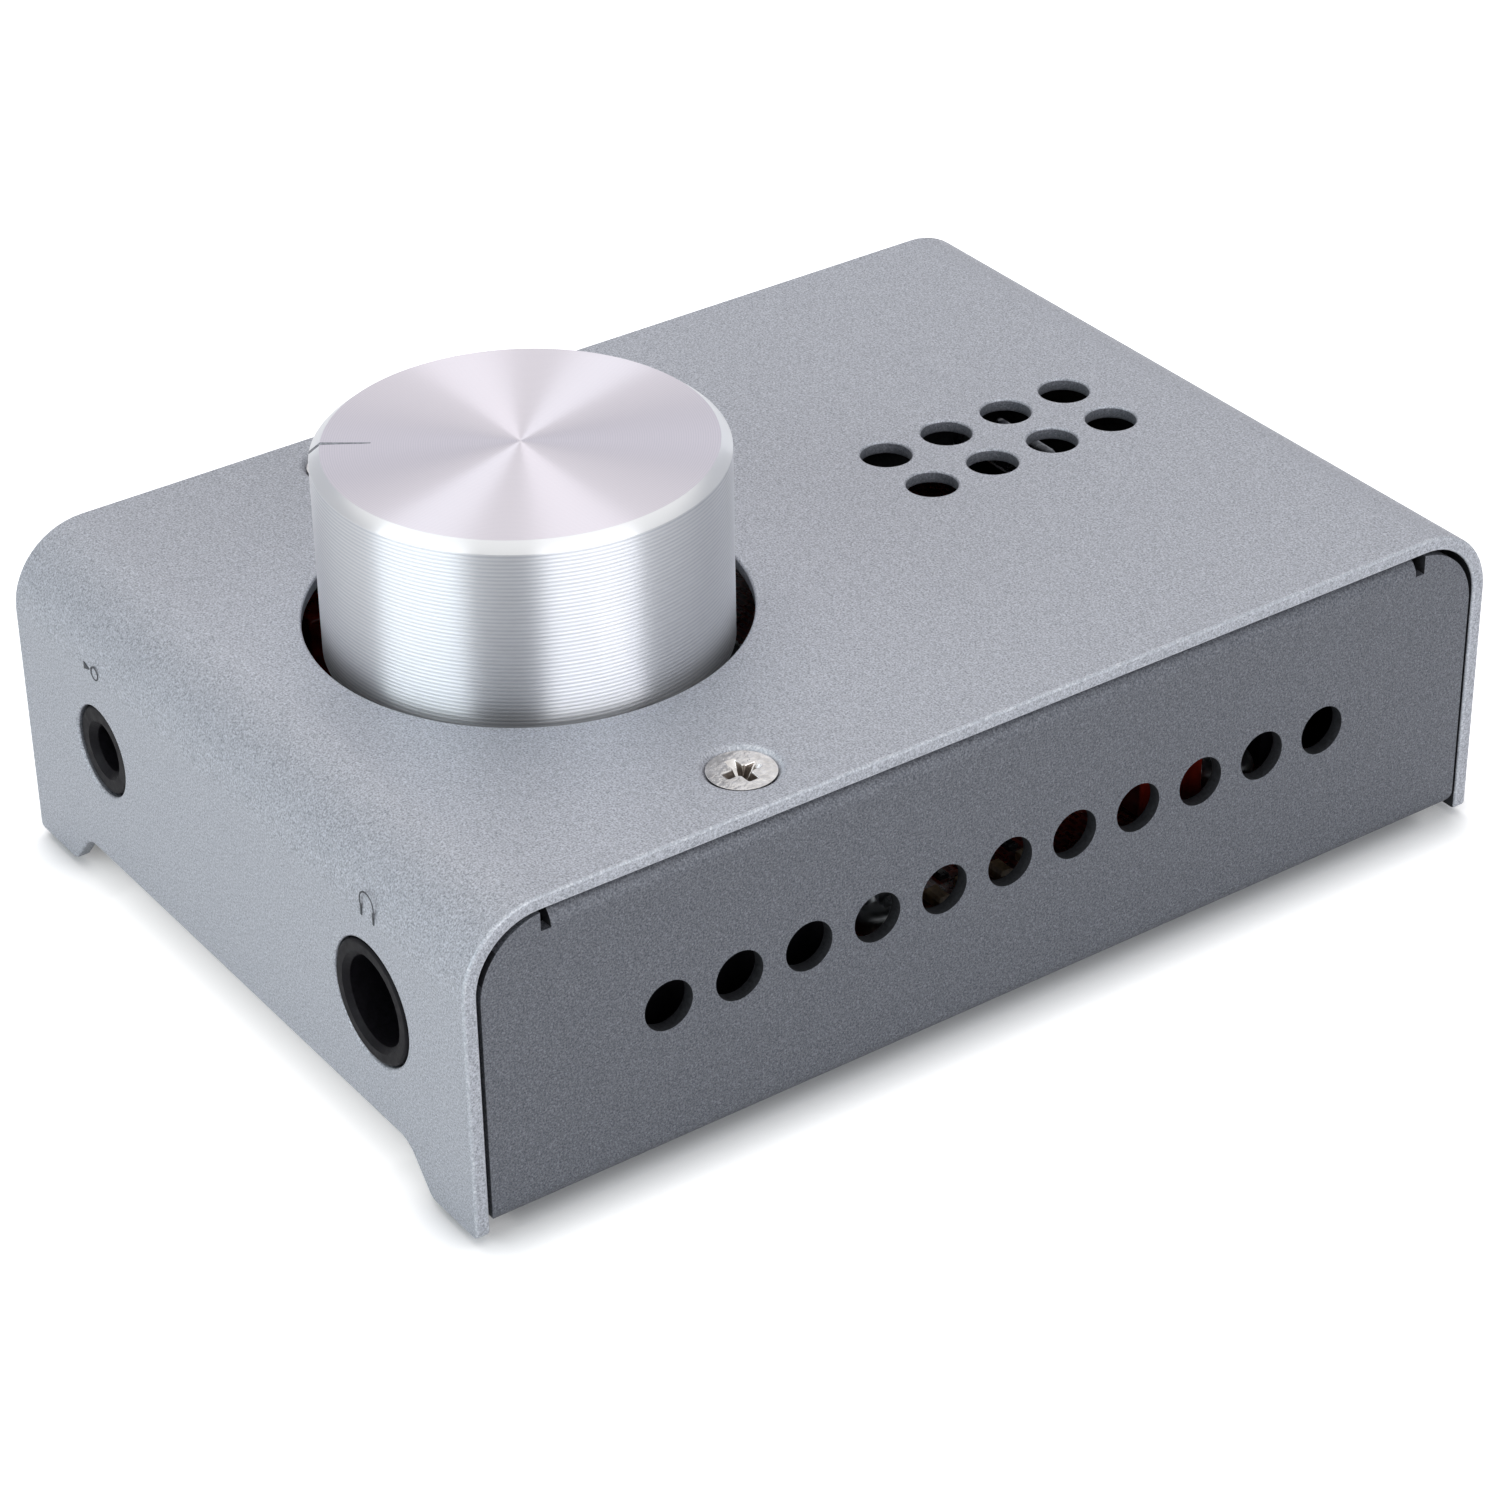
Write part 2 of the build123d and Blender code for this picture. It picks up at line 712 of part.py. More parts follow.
# ---------------------------------------------------------------- jacks
def jack_body(rise, width, length, roof, nose_radius, nose, bore_radius, bore_depth,
              mouth_chamfer, spring_width, spring_length, spring_starts):
    """A jack that faces -Y, with its front face on y = 0 and its base on z = 0."""
    body = block(-width / 2, width / 2, 0, length, 0, rise + roof)
    roof_edges = body.edges().filter_by(Axis.Y).group_by(Axis.Z)[-1]
    body = chamfer(roof_edges, jack_roof_chamfer)
    tube = rod_y(0, rise, -nose, 0, nose_radius)
    body += chamfer(tube.edges().group_by(Axis.Y)[0], jack_nose_chamfer)
    body -= rod_y(0, rise, -nose - 1, bore_depth - nose, bore_radius)
    mouth = Pos(0, mouth_chamfer / 2 - nose, rise) * Rot(90, 0, 0) * Cone(
        bore_radius, bore_radius + mouth_chamfer, mouth_chamfer
    )
    body -= mouth
    for side, start in spring_slots(spring_starts):
        body -= spring_pocket(
            side, start, rise, width, bore_radius, spring_width, spring_length
        )
    return body


def spring_slots(starts):
    """A left and a right spring at each start along the body."""
    return [(side, start) for start in starts for side in (-1, 1)]


def side_block(side, x0, x1, y0, y1, z0, z1):
    """A box on the right or the left side of a jack."""
    box = block(x0, x1, y0, y1, z0, z1)
    return box if side > 0 else mirror(box, Plane.YZ)


def spring_pocket(side, start, rise, width, bore_radius, spring_width, spring_length):
    """The room for one contact spring: a slot beside the bore, and one down to the board."""
    gap = spring_pocket_gap
    low = rise - spring_width / 2 - gap
    high = rise + spring_width / 2 + gap
    end = start + spring_length
    slot = side_block(
        side, bore_radius / 2, width / 2 + 1, start - gap, end + gap, low, high
    )
    tail_x = width / 2 - spring_tail_inset - spring_thickness
    return slot + side_block(
        side, tail_x - gap, width / 2 + 1,
        start - gap, start + spring_tail_width + gap, -1, rise,
    )


def contact_spring(side, start, rise, width, bore_radius, spring_width, spring_length):
    """A leaf beside the bore whose tail runs out to the side and down through the board."""
    leaf_x = bore_radius + spring_bore_gap
    low = rise - spring_width / 2
    high = rise + spring_width / 2
    tail_x = width / 2 - spring_tail_inset - spring_thickness
    tail_end = tail_x + spring_thickness
    spring = side_block(
        side, leaf_x, leaf_x + spring_thickness, start, start + spring_length, low, high
    )
    spring += side_block(side, leaf_x, tail_end, start, start + spring_thickness, low, high)
    return spring + side_block(
        side, tail_x, tail_end, start, start + spring_tail_width,
        z_lead_end - z_board, high,
    )


def spring_tail_places(width, starts):
    """Where the spring tails cross the board, in the jack's own frame."""
    x = width / 2 - spring_tail_inset - spring_thickness / 2
    return [(side * x, start + spring_tail_width / 2) for side, start in spring_slots(starts)]


headphone_spring = (headphone_axis_rise, headphone_width, headphone_bore_radius,
                    headphone_spring_width, headphone_spring_length)
small_spring = (small_jack_axis_rise, small_jack_width, small_jack_bore_radius,
                small_spring_width, small_spring_length)


def front_place(x):
    return Pos(x, -jack_face, z_board)


def rear_place(x):
    return Pos(x, jack_face, z_board) * Rot(0, 0, 180)


def headphone_jack_body():
    return front_place(headphone_x) * jack_body(
        headphone_axis_rise, headphone_width, headphone_length, headphone_roof,
        headphone_nose_radius, headphone_nose, headphone_bore_radius,
        headphone_bore_depth, headphone_mouth_chamfer, headphone_spring_width, headphone_spring_length, headphone_spring_starts,
    )


def headphone_jack_springs():
    return [
        front_place(headphone_x) * contact_spring(side, start, *headphone_spring)
        for side, start in spring_slots(headphone_spring_starts)
    ]


def small_jack_body(place):
    return place * jack_body(
        small_jack_axis_rise, small_jack_width, small_jack_length, small_jack_roof,
        small_jack_nose_radius, small_jack_nose, small_jack_bore_radius,
        small_jack_bore_depth, small_jack_mouth_chamfer,
        small_spring_width, small_spring_length, small_spring_starts,
    )


def small_jack_springs(place):
    return [
        place * contact_spring(side, start, *small_spring)
        for side, start in spring_slots(small_spring_starts)
    ]


# ---------------------------------------------------------------- micro USB sockets
def usb_outline(inset):
    """The socket's outline seen from the rear, with its two lower corners cut off."""
    half = usb_width / 2 - inset
    low = inset
    high = usb_height - inset
    cut = usb_corner - inset / 2
    return Polygon(
        (-half + cut, low), (half - cut, low), (half, low + cut), (half, high),
        (-half, high), (-half, low + cut), align=None,
    )


def usb_tube(outline, x, y0, y1):
    """An upright outline drawn out along Y at one socket."""
    return Pos(x, y0, z_board) * extrude(Plane.XZ * outline, -(y1 - y0))


def usb_leg_xs(x):
    half = usb_width / 2 - usb_wall / 2
    return (x - half, x + half)


def usb_leg_y():
    return usb_face - usb_length + usb_leg_width


def usb_shell(x):
    """The folded steel tube of a micro USB socket, with two legs through the board."""
    start = usb_face - usb_length
    shell = usb_tube(usb_outline(0), x, start, usb_face)
    shell -= usb_tube(usb_outline(usb_wall), x, start - 1, usb_face + 1)
    for leg_x in usb_leg_xs(x):
        shell += block(
            leg_x - usb_wall / 2, leg_x + usb_wall / 2,
            usb_leg_y() - usb_leg_width / 2, usb_leg_y() + usb_leg_width / 2,
            z_lead_end, z_board + usb_height / 2,
        )
    return shell


def usb_insulator(x):
    """The moulded back of a socket and the tongue that carries its contacts."""
    start = usb_face - usb_length
    back = usb_tube(
        usb_outline(usb_wall + usb_insert_gap), x, start, start + usb_back_thickness
    )
    top = z_board + usb_height - usb_wall - usb_tongue_drop
    return back + block(
        x - usb_tongue_width / 2, x + usb_tongue_width / 2,
        start, start + usb_back_thickness + usb_tongue_reach,
        top - usb_tongue_thickness, top,
    )


def usb_contacts(x):
    """Flat contacts on the underside of the tongue."""
    start = usb_face - usb_length + usb_back_thickness + usb_insert_gap
    top = z_board + usb_height - usb_wall - usb_tongue_drop - usb_tongue_thickness
    contacts = []
    for i in range(usb_contact_count):
        middle = x + (i - (usb_contact_count - 1) / 2) * usb_contact_pitch
        contacts.append(block(
            middle - usb_contact_width / 2, middle + usb_contact_width / 2,
            start, start + usb_tongue_reach - usb_contact_width,
            top - usb_contact_thickness, top,
        ))
    return contacts


# ---------------------------------------------------------------- circuit board
def lead_holes():
    """Every hole for a lead or tail: its place and the radius that clears the lead."""
    holes = [(x, y, pot_terminal_radius) for x, y in pot_terminal_places()]
    tail_radius = math.hypot(spring_tail_width, spring_thickness) / 2
    for x, y in spring_tail_places(headphone_width, headphone_spring_starts):
        holes.append((headphone_x + x, y - jack_face, tail_radius))
    for x, y in spring_tail_places(small_jack_width, small_spring_starts):
        holes.append((microphone_x + x, y - jack_face, tail_radius))
        for jack_x in rear_jack_xs:
            holes.append((jack_x - x, jack_face - y, tail_radius))
    leg_radius = math.hypot(usb_wall, usb_leg_width) / 2
    for usb_x in usb_xs:
        holes += [(x, usb_leg_y(), leg_radius) for x in usb_leg_xs(usb_x)]
    holes += [(x, y, can_lead_radius) for x, y in can_lead_places()]
    return holes


def circuit_board():
    board = extrude(
        Pos(0, 0, z_board_low) * Rectangle(2 * board_half_width, 2 * board_half_depth),
        board_thickness,
    )
    board = fillet(board.edges().filter_by(Axis.Z), board_corner_radius)
    for x, y in standoff_places:
        board -= rod_z(x, y, 0, z_top, board_screw_radius + board_hole_gap)
    for x, y, radius in lead_holes():
        board -= rod_z(x, y, 0, z_top, radius + lead_hole_gap)
    return board


def board_standoff(x, y):
    """A hexagonal standoff with a shank pressed into the floor plate."""
    hexagon = RegularPolygon(standoff_radius, 6, major_radius=False)
    standoff = Pos(x, y, z_plate) * extrude(hexagon, standoff_height)
    standoff += rod_z(x, y, z_plate_low, z_plate, standoff_shank_radius)
    return standoff - rod_z(x, y, 0, z_top, board_screw_radius + thread_gap)


def board_screw(x, y):
    """A pan-head screw that clamps the board to a standoff."""
    head = rod_z(x, y, z_board, z_board + board_screw_head_height, board_screw_head_radius)
    head = fillet(head.edges().group_by(Axis.Z)[-1], board_screw_head_height / 2)
    shank = rod_z(x, y, z_board - board_screw_length, z_board, board_screw_radius)
    z_face = z_board + board_screw_head_height
    return head + shank - cross_recess(x, y, z_face, cross_reach, cross_width, cross_depth)


# ---------------------------------------------------------------- parts on the board
def edged_part(place, size):
    """A moulded part with its upright edges and its top edges eased."""
    shape = part_block(place, size, z_board)
    return chamfer(shape.edges().group_by(Axis.Z)[-1], min(part_corner, size[2] / 4))


def gull_pins(place, size, count, pitch, turned=False):
    """Two rows of bent pins beside a chip, on its two X sides or its two Y sides."""
    half = (size[1] if turned else size[0]) / 2
    shoulder = size[2] / 2
    pins = []
    for side in (-1, 1):
        for i in range(count):
            along = (i - (count - 1) / 2) * pitch
            pin = block(half, half + pin_reach / 2, -pin_width / 2, pin_width / 2,
                        shoulder - pin_thickness, shoulder)
            pin += block(half + pin_reach / 2 - pin_thickness, half + pin_reach / 2,
                         -pin_width / 2, pin_width / 2, 0, shoulder)
            pin += block(half + pin_reach / 2 - pin_thickness, half + pin_reach,
                         -pin_width / 2, pin_width / 2, 0, pin_thickness)
            pin = Pos(0, along, 0) * pin
            if side < 0:
                pin = mirror(pin, Plane.YZ)
            if turned:
                pin = Rot(0, 0, 90) * pin
            pins.append(Pos(place[0], place[1], z_board) * pin)
    return pins


def chip_pins():
    pins = []
    for place in amplifier_places + [microphone_chip_place]:
        pins += gull_pins(place, soic_size, soic_pins_per_side, soic_pin_pitch, turned=True)
    for turned in (False, True):
        pins += gull_pins(dac_place, dac_size, dac_pins_per_side, fine_pin_pitch, turned)
        pins += gull_pins(
            controller_place, controller_size, controller_pins_per_side, fine_pin_pitch, turned
        )
    return pins


def can_lead_places():
    return [
        (x + side * can_lead_pitch / 2, y)
        for x, y in can_places
        for side in (-1, 1)
    ]


def capacitor_can(x, y):
    """An electrolytic capacitor's can, with the cross-shaped vent pressed into its top."""
    can = rod_z(x, y, z_board, z_board + can_height, can_radius)
    can = fillet(can.edges().group_by(Axis.Z)[-1], can_rim)
    top = z_board + can_height
    reach = can_radius - 2 * can_rim
    for dx, dy in ((reach, can_vent_width / 2), (can_vent_width / 2, reach)):
        can -= block(x - dx, x + dx, y - dy, y + dy, top - can_vent_depth, top + 1)
    return can


def capacitor_sleeve(x, y):
    """The shrunk plastic sleeve round a can."""
    low = z_board + can_rim
    high = z_board + can_height - can_rim
    inner = can_radius + sleeve_gap
    sleeve = rod_z(x, y, low, high, inner + sleeve_thickness)
    return sleeve - rod_z(x, y, low - 1, high + 1, inner)


def resistor_places():
    return [
        (x, small_rows_y + row * resistor_row_pitch)
        for x in resistor_columns_x
        for row in range(resistor_rows)
    ]


def ceramic_places():
    return [(ceramic_column_x, small_rows_y + row * ceramic_row_pitch)
            for row in range(ceramic_rows)]


# ---------------------------------------------------------------- all nodes
def all_nodes():
    nodes = {
        "top_cover": top_cover(),
        "bottom_chassis": bottom_chassis(),
        "clinch_nuts": [clinch_nut(x) for x in (-screw_x, screw_x)],
        "cover_screws": [cover_screw(x) for x in (-screw_x, screw_x)],
        "rubber_feet": rubber_feet(),
        "volume_knob": volume_knob(),
        "knob_set_screw": knob_set_screw(),
        "pot_shaft": pot_shaft(),
        "pot_rotor": pot_rotor(),
        "pot_wiper": pot_wiper(),
        "pot_housing": pot_housing(),
        "pot_bushing": pot_bushing(),
        "pot_track": pot_track(),
        "pot_terminals": [
            rod_z(x, y, z_lead_end, z_board, pot_terminal_radius)
            for x, y in pot_terminal_places()
        ],
        "circuit_board": circuit_board(),
        "board_standoffs": [board_standoff(x, y) for x, y in standoff_places],
        "board_screws": [board_screw(x, y) for x, y in standoff_places],
        "headphone_jack_body": headphone_jack_body(),
        "headphone_jack_springs": headphone_jack_springs(),
        "microphone_jack_body": small_jack_body(front_place(microphone_x)),
        "microphone_jack_springs": small_jack_springs(front_place(microphone_x)),
        "dac_chip": edged_part(dac_place, dac_size),
        "usb_controller_chip": edged_part(controller_place, controller_size),
        "amplifier_chips": [edged_part(place, soic_size) for place in amplifier_places],
        "microphone_chip": edged_part(microphone_chip_place, soic_size),
        "chip_pins": chip_pins(),
        "voltage_regulators": [edged_part(place, regulator_size) for place in regulator_places],
        "clock_crystals": [edged_part(place, crystal_size) for place in crystal_places],
        "power_inductors": [edged_part(place, inductor_size) for place in inductor_places],
        "film_capacitors": [
            edged_part(front_film_place, front_film_size),
            *(edged_part(place, film_size) for place in film_places),
        ],
        "capacitor_cans": [capacitor_can(x, y) for x, y in can_places],
        "capacitor_sleeves": [capacitor_sleeve(x, y) for x, y in can_places],
        "capacitor_leads": [
            rod_z(x, y, z_lead_end, z_board, can_lead_radius) for x, y in can_lead_places()
        ],
        "ceramic_capacitors": [edged_part(place, ceramic_size) for place in ceramic_places()],
        "chip_resistors": [edged_part(place, resistor_size) for place in resistor_places()],
    }
    jack_names = ("line_input_jack", "line_output_jack", "preamp_output_jack")
    for name, x in zip(jack_names, rear_jack_xs):
        nodes[name + "_body"] = small_jack_body(rear_place(x))
        nodes[name + "_springs"] = small_jack_springs(rear_place(x))
    for name, x in zip(("data_usb", "power_usb"), usb_xs):
        nodes[name + "_shell"] = usb_shell(x)
        nodes[name + "_insulator"] = usb_insulator(x)
        nodes[name + "_contacts"] = usb_contacts(x)
    return nodes


os.makedirs("parts", exist_ok=True)
for node_name, node_solids in all_nodes().items():
    write(node_name, node_solids)
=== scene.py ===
import json
import math

import bmesh
import bpy
from bpy.props import FloatProperty, FloatVectorProperty, IntProperty, PointerProperty, StringProperty
from bpy.types import Operator, Panel, PropertyGroup
from mathutils import Matrix, Vector

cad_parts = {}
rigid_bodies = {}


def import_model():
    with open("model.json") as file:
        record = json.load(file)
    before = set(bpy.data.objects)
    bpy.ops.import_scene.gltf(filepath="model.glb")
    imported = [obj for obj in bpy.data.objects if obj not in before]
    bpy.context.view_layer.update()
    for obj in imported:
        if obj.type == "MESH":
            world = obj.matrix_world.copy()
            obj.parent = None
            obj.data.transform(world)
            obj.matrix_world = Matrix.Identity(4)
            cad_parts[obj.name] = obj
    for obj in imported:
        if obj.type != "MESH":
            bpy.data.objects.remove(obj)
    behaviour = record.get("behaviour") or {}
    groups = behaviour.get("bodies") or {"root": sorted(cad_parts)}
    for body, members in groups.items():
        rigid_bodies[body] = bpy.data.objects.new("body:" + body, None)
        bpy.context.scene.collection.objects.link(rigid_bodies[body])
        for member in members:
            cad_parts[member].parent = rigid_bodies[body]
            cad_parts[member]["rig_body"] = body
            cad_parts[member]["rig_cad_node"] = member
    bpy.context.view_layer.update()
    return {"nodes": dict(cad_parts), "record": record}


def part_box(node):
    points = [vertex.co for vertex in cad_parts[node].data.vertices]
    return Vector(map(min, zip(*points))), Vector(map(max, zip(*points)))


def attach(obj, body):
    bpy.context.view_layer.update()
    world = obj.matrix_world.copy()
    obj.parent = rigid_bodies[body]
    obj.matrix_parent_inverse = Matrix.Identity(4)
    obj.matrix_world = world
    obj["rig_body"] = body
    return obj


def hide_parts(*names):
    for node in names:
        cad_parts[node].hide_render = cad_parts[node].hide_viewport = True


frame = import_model()

bl_info = {
    "name": "Desktop Headphone Amplifier",
    "version": (1, 0, 0),
    "blender": (4, 5, 0),
    "location": "3D View > Sidebar > Amplifier",
    "description": "Models a small headphone amplifier and its studio on a fixed CAD frame",
    "category": "Add Mesh",
}

MM = 0.001
HOLE_SIDES = 64
ROUND_SIDES = 96
BEND_STEPS = 14
SMOOTH_ANGLE = math.radians(32)
FLAT = 0.9  # least share of a normal along the axis that a face is said to look along
SQUARE = 0.98  # the same, for faces that look along it squarely
SKIN_SHARE = 0.9  # share of an edge break that counts as outer skin
CLEAR = 1 * MM  # how far a cutting tool stands clear of the skin that it cuts
DEEP = 3 * MM  # how far it reaches below that skin

# Places that the frame gives, in metres: +X to the right of the front, +Y to the rear, +Z up.
COVER_LOW, COVER_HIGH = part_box("top_cover")
CHASSIS_LOW, CHASSIS_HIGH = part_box("bottom_chassis")
KNOB_LOW, KNOB_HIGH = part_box("volume_knob")
SCREWS_LOW, SCREWS_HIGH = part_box("cover_screws")
FEET_LOW, FEET_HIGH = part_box("rubber_feet")
STANDOFFS_LOW, STANDOFFS_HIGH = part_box("board_standoffs")
KNOB_CENTRE = (KNOB_LOW + KNOB_HIGH) / 2
KNOB_RADIUS = (KNOB_HIGH.x - KNOB_LOW.x) / 2
MOUNTS = {mount["name"]: mount for mount in frame["record"]["mounts"]}
REAR_SMALL_JACKS = ("line_input", "line_output", "preamp_output")


# ---------------------------------------------------------------- sizes and colours
def length(name, description, millimetres):
    """A length that the user can change, given in millimetres and kept in metres."""
    return FloatProperty(
        name=name, description=description, default=millimetres * MM, min=0.0,
        precision=5, unit="LENGTH",
    )


def turn(name, description, degrees):
    """An angle that the user can change, given in degrees and kept in radians."""
    return FloatProperty(
        name=name, description=description, default=math.radians(degrees), subtype="ANGLE",
    )


def colour(name, description, code):
    """An sRGB colour as a six-digit hex code."""
    return StringProperty(name=name, description=description, default=code)


class CoverSettings(PropertyGroup):
    """The folded top cover."""

    sheet: length("Sheet", "Thickness of the aluminium sheet", 1.1)
    bend: length("Outer bend", "Outer radius of the front and rear bends", 6.1)
    edge_break: length("Edge break", "Rounding that the coat leaves on every cut edge", 0.2)
    leg_width: length("Leg width", "Width of a leg at the bottom", 5.7)
    leg_slope: length("Leg slope", "How far a leg widens up to the skirt", 2.7)
    leg_corner: length("Leg corner", "Corner radius at a leg's foot", 0.5)
    skirt_rise: length("Skirt rise", "Height of the opening between the legs", 3.2)
    skirt_corner: length("Skirt corner", "Corner radius at the top of the opening", 1.0)
    knob_gap: length("Knob gap", "Gap round the volume knob", 1.38)
    vent_radius: length("Vent radius", "Radius of a top vent", 1.97)
    vent_pitch: length("Vent pitch", "Distance between top vents", 5.7)
    vent_inset: length("Vent inset", "From the rear wall to the last top vents", 12.6)
    vent_columns: IntProperty(
        name="Vent columns", description="Top vents along the depth", default=4, min=1
    )
    countersink: length("Countersink", "Radius of the countersink at the top face", 2.9)
    countersink_angle: turn("Countersink angle", "Half angle of the countersink", 41.0)
    nose_gap: length("Socket gap", "Gap round the nose of a jack", 0.12)
    port_gap: length("Port gap", "Gap round a micro USB shell", 0.35)
    port_corner: length("Port corner", "Corner radius of a micro USB opening", 0.9)


class ChassisSettings(PropertyGroup):
    """The folded bottom chassis with its side panels."""

    sheet: length("Sheet", "Thickness of the steel sheet", 1.0)
    bend: length("Outer bend", "Outer radius of the long bends", 1.5)
    edge_break: length("Edge break", "Rounding that the coat leaves on every cut edge", 0.24)
    top_corner: length("Top corner", "Corner radius at the top of a panel", 5.4)
    foot_corner: length("Foot corner", "Corner radius at the foot of a panel", 1.2)
    plate_inset: length("Plate inset", "How far the floor plate stops short of a panel", 2.05)
    flange_width: length("Flange width", "Width of a top flange", 8.0)
    flange_inset: length("Flange inset", "From a panel's end to its flange", 5.58)
    notch_width: length("Notch width", "Width of a bend relief", 0.8)
    notch_depth: length("Notch depth", "Depth of a bend relief", 1.5)
    vent_radius: length("Vent radius", "Radius of a side vent", 1.95)
    vent_pitch: length("Vent pitch", "Distance between side vents", 5.77)
    vent_offset: length("Vent offset", "How far the row sits to the rear of the middle", 0.26)
    vent_rise: length("Vent rise", "Height of the row over the plate's underside", 12.09)
    vent_count: IntProperty(
        name="Vent count", description="Vents in each side panel", default=11, min=1
    )
    standoff_radius: length("Standoff", "Half the width of a standoff across its flats", 2.5)
    shank_radius: length("Shank hole", "Radius of the hole for a standoff's shank", 2.12)
    standoff_step: length("Standoff step", "From the rear standoffs to the middle ones", 31.6)


class KnobSettings(PropertyGroup):
    """The turned volume knob."""

    chamfer_width: length("Chamfer width", "Width of the chamfer on the top face", 0.8)
    chamfer_height: length("Chamfer height", "Height of the chamfer on the side", 0.67)
    recess_outer: length("Recess outer", "Outer radius of the hollow underneath", 12.0)
    recess_inner: length("Recess inner", "Radius of the boss underneath", 6.5)
    recess_depth: length("Recess depth", "Depth of the hollow underneath", 2.5)
    bore_radius: length("Bore radius", "Radius of the shaft hole", 3.03)
    bore_depth: length("Bore depth", "Depth of the shaft hole", 11.5)
    marker_bearing: turn("Marker bearing", "Where the marker points at rest", -125.0)
    marker_start: length("Marker start", "Radius at which the marker starts", 10.4)
    marker_width: length("Marker width", "Width of the marker at the rim", 0.5)
    marker_depth: length("Marker depth", "Depth of the marker at the rim", 0.3)
    screw_bearing: turn("Grub screw bearing", "Where the grub screw hole is", 145.0)
    screw_rise: length("Grub screw rise", "Height of its hole over the cover", 3.0)
    screw_radius: length("Grub screw hole", "Radius of its hole", 1.55)
    ring_pitch: length("Ring pitch", "Distance between turning rings on the side", 0.3)
    face_pitch: length("Face pitch", "Distance between turning rings on the top", 0.17)
    sides: IntProperty(
        name="Sides", description="Facets round the knob", default=192, min=32
    )


class JackSettings(PropertyGroup):
    """The headphone jack and the four small jacks."""

    face_gap: length("Face gap", "Between the jacks and the inside of the cover", 0.3)
    roof_chamfer: length("Roof chamfer", "Chamfer along a jack's roof", 1.6)
    nose_round: length("Nose rounding", "Rounding at the end of a nose", 0.28)
    large_nose: length("Large nose", "Radius of the headphone jack's nose", 4.6)
    large_mouth: length("Large mouth", "Lead-in of the headphone jack's bore", 0.4)
    small_nose: length("Small nose", "Radius of a small jack's nose", 3.45)
    small_mouth: length("Small mouth", "Lead-in of a small jack's bore", 0.5)


class IconSettings(PropertyGroup):
    """The two small pictograms printed over the front jacks."""

    line: length("Line", "Width of a printed line", 0.13)
    ink: length("Ink", "Thickness of the printed ink", 0.012)
    band_radius: length("Band radius", "Outer radius of the headphone band", 0.94)
    band_shift: length("Band shift", "Sideways from the socket's axis", 0.36)
    band_rise: length("Band rise", "Height of the band's centre over the socket's axis", 8.18)
    leg: length("Leg", "From the band's centre down to an ear pad", 0.3)
    pad_width: length("Pad width", "Width of an ear pad", 0.27)
    pad_height: length("Pad height", "Height of an ear pad", 0.98)
    head_radius: length("Head radius", "Outer radius of the microphone's ring", 0.57)
    head_shift: length("Head shift", "Sideways from the socket's axis", 0.32)
    head_rise: length("Head rise", "Height of the ring over the socket's axis", 6.8)
    horn_gap: length("Horn gap", "From the ring to the tip of the wedge", 0.18)
    horn_length: length("Horn length", "Length of the wedge", 0.85)
    horn_width: length("Horn width", "Height of the wedge's wide end", 0.62)


class FinishSettings(PropertyGroup):
    """Colours of the finishes."""

    silver_dark: colour("Silver coat, dark", "Darkest grain of the silver coat", "8A8D95")
    silver_light: colour("Silver coat, light", "Lightest grain of the silver coat", "D4D7DF")
    # Lighter than the coat: coat built up on the cut edges, and a painted highlight.
    bead_dark: colour("Edge bead, dark", "Darkest grain of the coat on cut edges", "A6AAB2")
    bead_light: colour("Edge bead, light", "Lightest grain of the coat on cut edges", "CFD3DA")
    grey_dark: colour("Grey coat, dark", "Darkest grain of the grey coat", "44474E")
    grey_light: colour("Grey coat, light", "Lightest grain of the grey coat", "7C7F87")
    # A darker coat that paints the shade on the walls of the cover's holes.
    wall_dark: colour("Thin silver coat, dark", "Darkest grain in the holes", "5E6168")
    wall_light: colour("Thin silver coat, light", "Lightest grain in the holes", "83868E")
    # Near-black tones that paint the shade inside the sheets and in the chassis holes.
    bare_dark: colour("Phosphated steel, dark", "Darkest grain inside the sheets", "1D1E21")
    bare_light: colour("Phosphated steel, light", "Lightest grain inside the sheets", "303236")
    # The knob's dark tones paint the shade at the bottoms of its grooves.
    side_metal: colour("Knob side", "Turned aluminium on the side", "F2F3F5")
    side_groove_shade: colour("Knob side, dark", "Bottom of the grooves on the side", "D6D9DF")
    face_metal: colour("Knob face", "Faced aluminium on the top", "F2ECF3")
    face_groove_shade: colour("Knob face, dark", "Bottom of the grooves on the top", "E9E4EB")
    nickel: colour("Nickel", "Nickel plate on the screws", "F0EDEB")
    jack_plastic: colour("Jack plastic", "Black moulded jacks", "141217")
    board: colour("Board", "Solder mask of the circuit board", "4A1712")
    ink: colour("Ink", "Printed pictograms", "4A4D54")


class StageSettings(PropertyGroup):
    """The floor, the lamps and the camera."""

    target: FloatVectorProperty(
        name="Target", description="Point that the camera looks at",
        default=(-2.253 * MM, 1.418 * MM, 4.828 * MM), unit="LENGTH", precision=5,
    )
    distance: length("Distance", "From the camera to its target", 330.0)
    azimuth: turn("Azimuth", "Camera bearing, from the front towards the right", 55.254)
    elevation: turn("Elevation", "Camera height over the horizon", 32.496)
    roll: turn("Roll", "Tilt of the camera about its own axis", -0.951)
    lens: FloatProperty(
        name="Lens", description="Focal length in millimetres on a 36 mm sensor", default=103.84
    )
    floor_size: length("Floor size", "Side of the floor", 4000.0)
    room_radius: length("Room radius", "Radius of the walls that the metal mirrors", 1100.0)
    room_height: length("Room height", "Height of those walls", 800.0)


# ---------------------------------------------------------------- modelling helpers
def make_active(piece):
    """Selects one object and nothing else."""
    bpy.ops.object.select_all(action="DESELECT")
    piece.select_set(True)
    bpy.context.view_layer.objects.active = piece


def settle(piece):
    """Puts an object's place, turn and size into its mesh."""
    make_active(piece)
    bpy.ops.object.transform_apply(location=True, rotation=True, scale=True)
    return piece


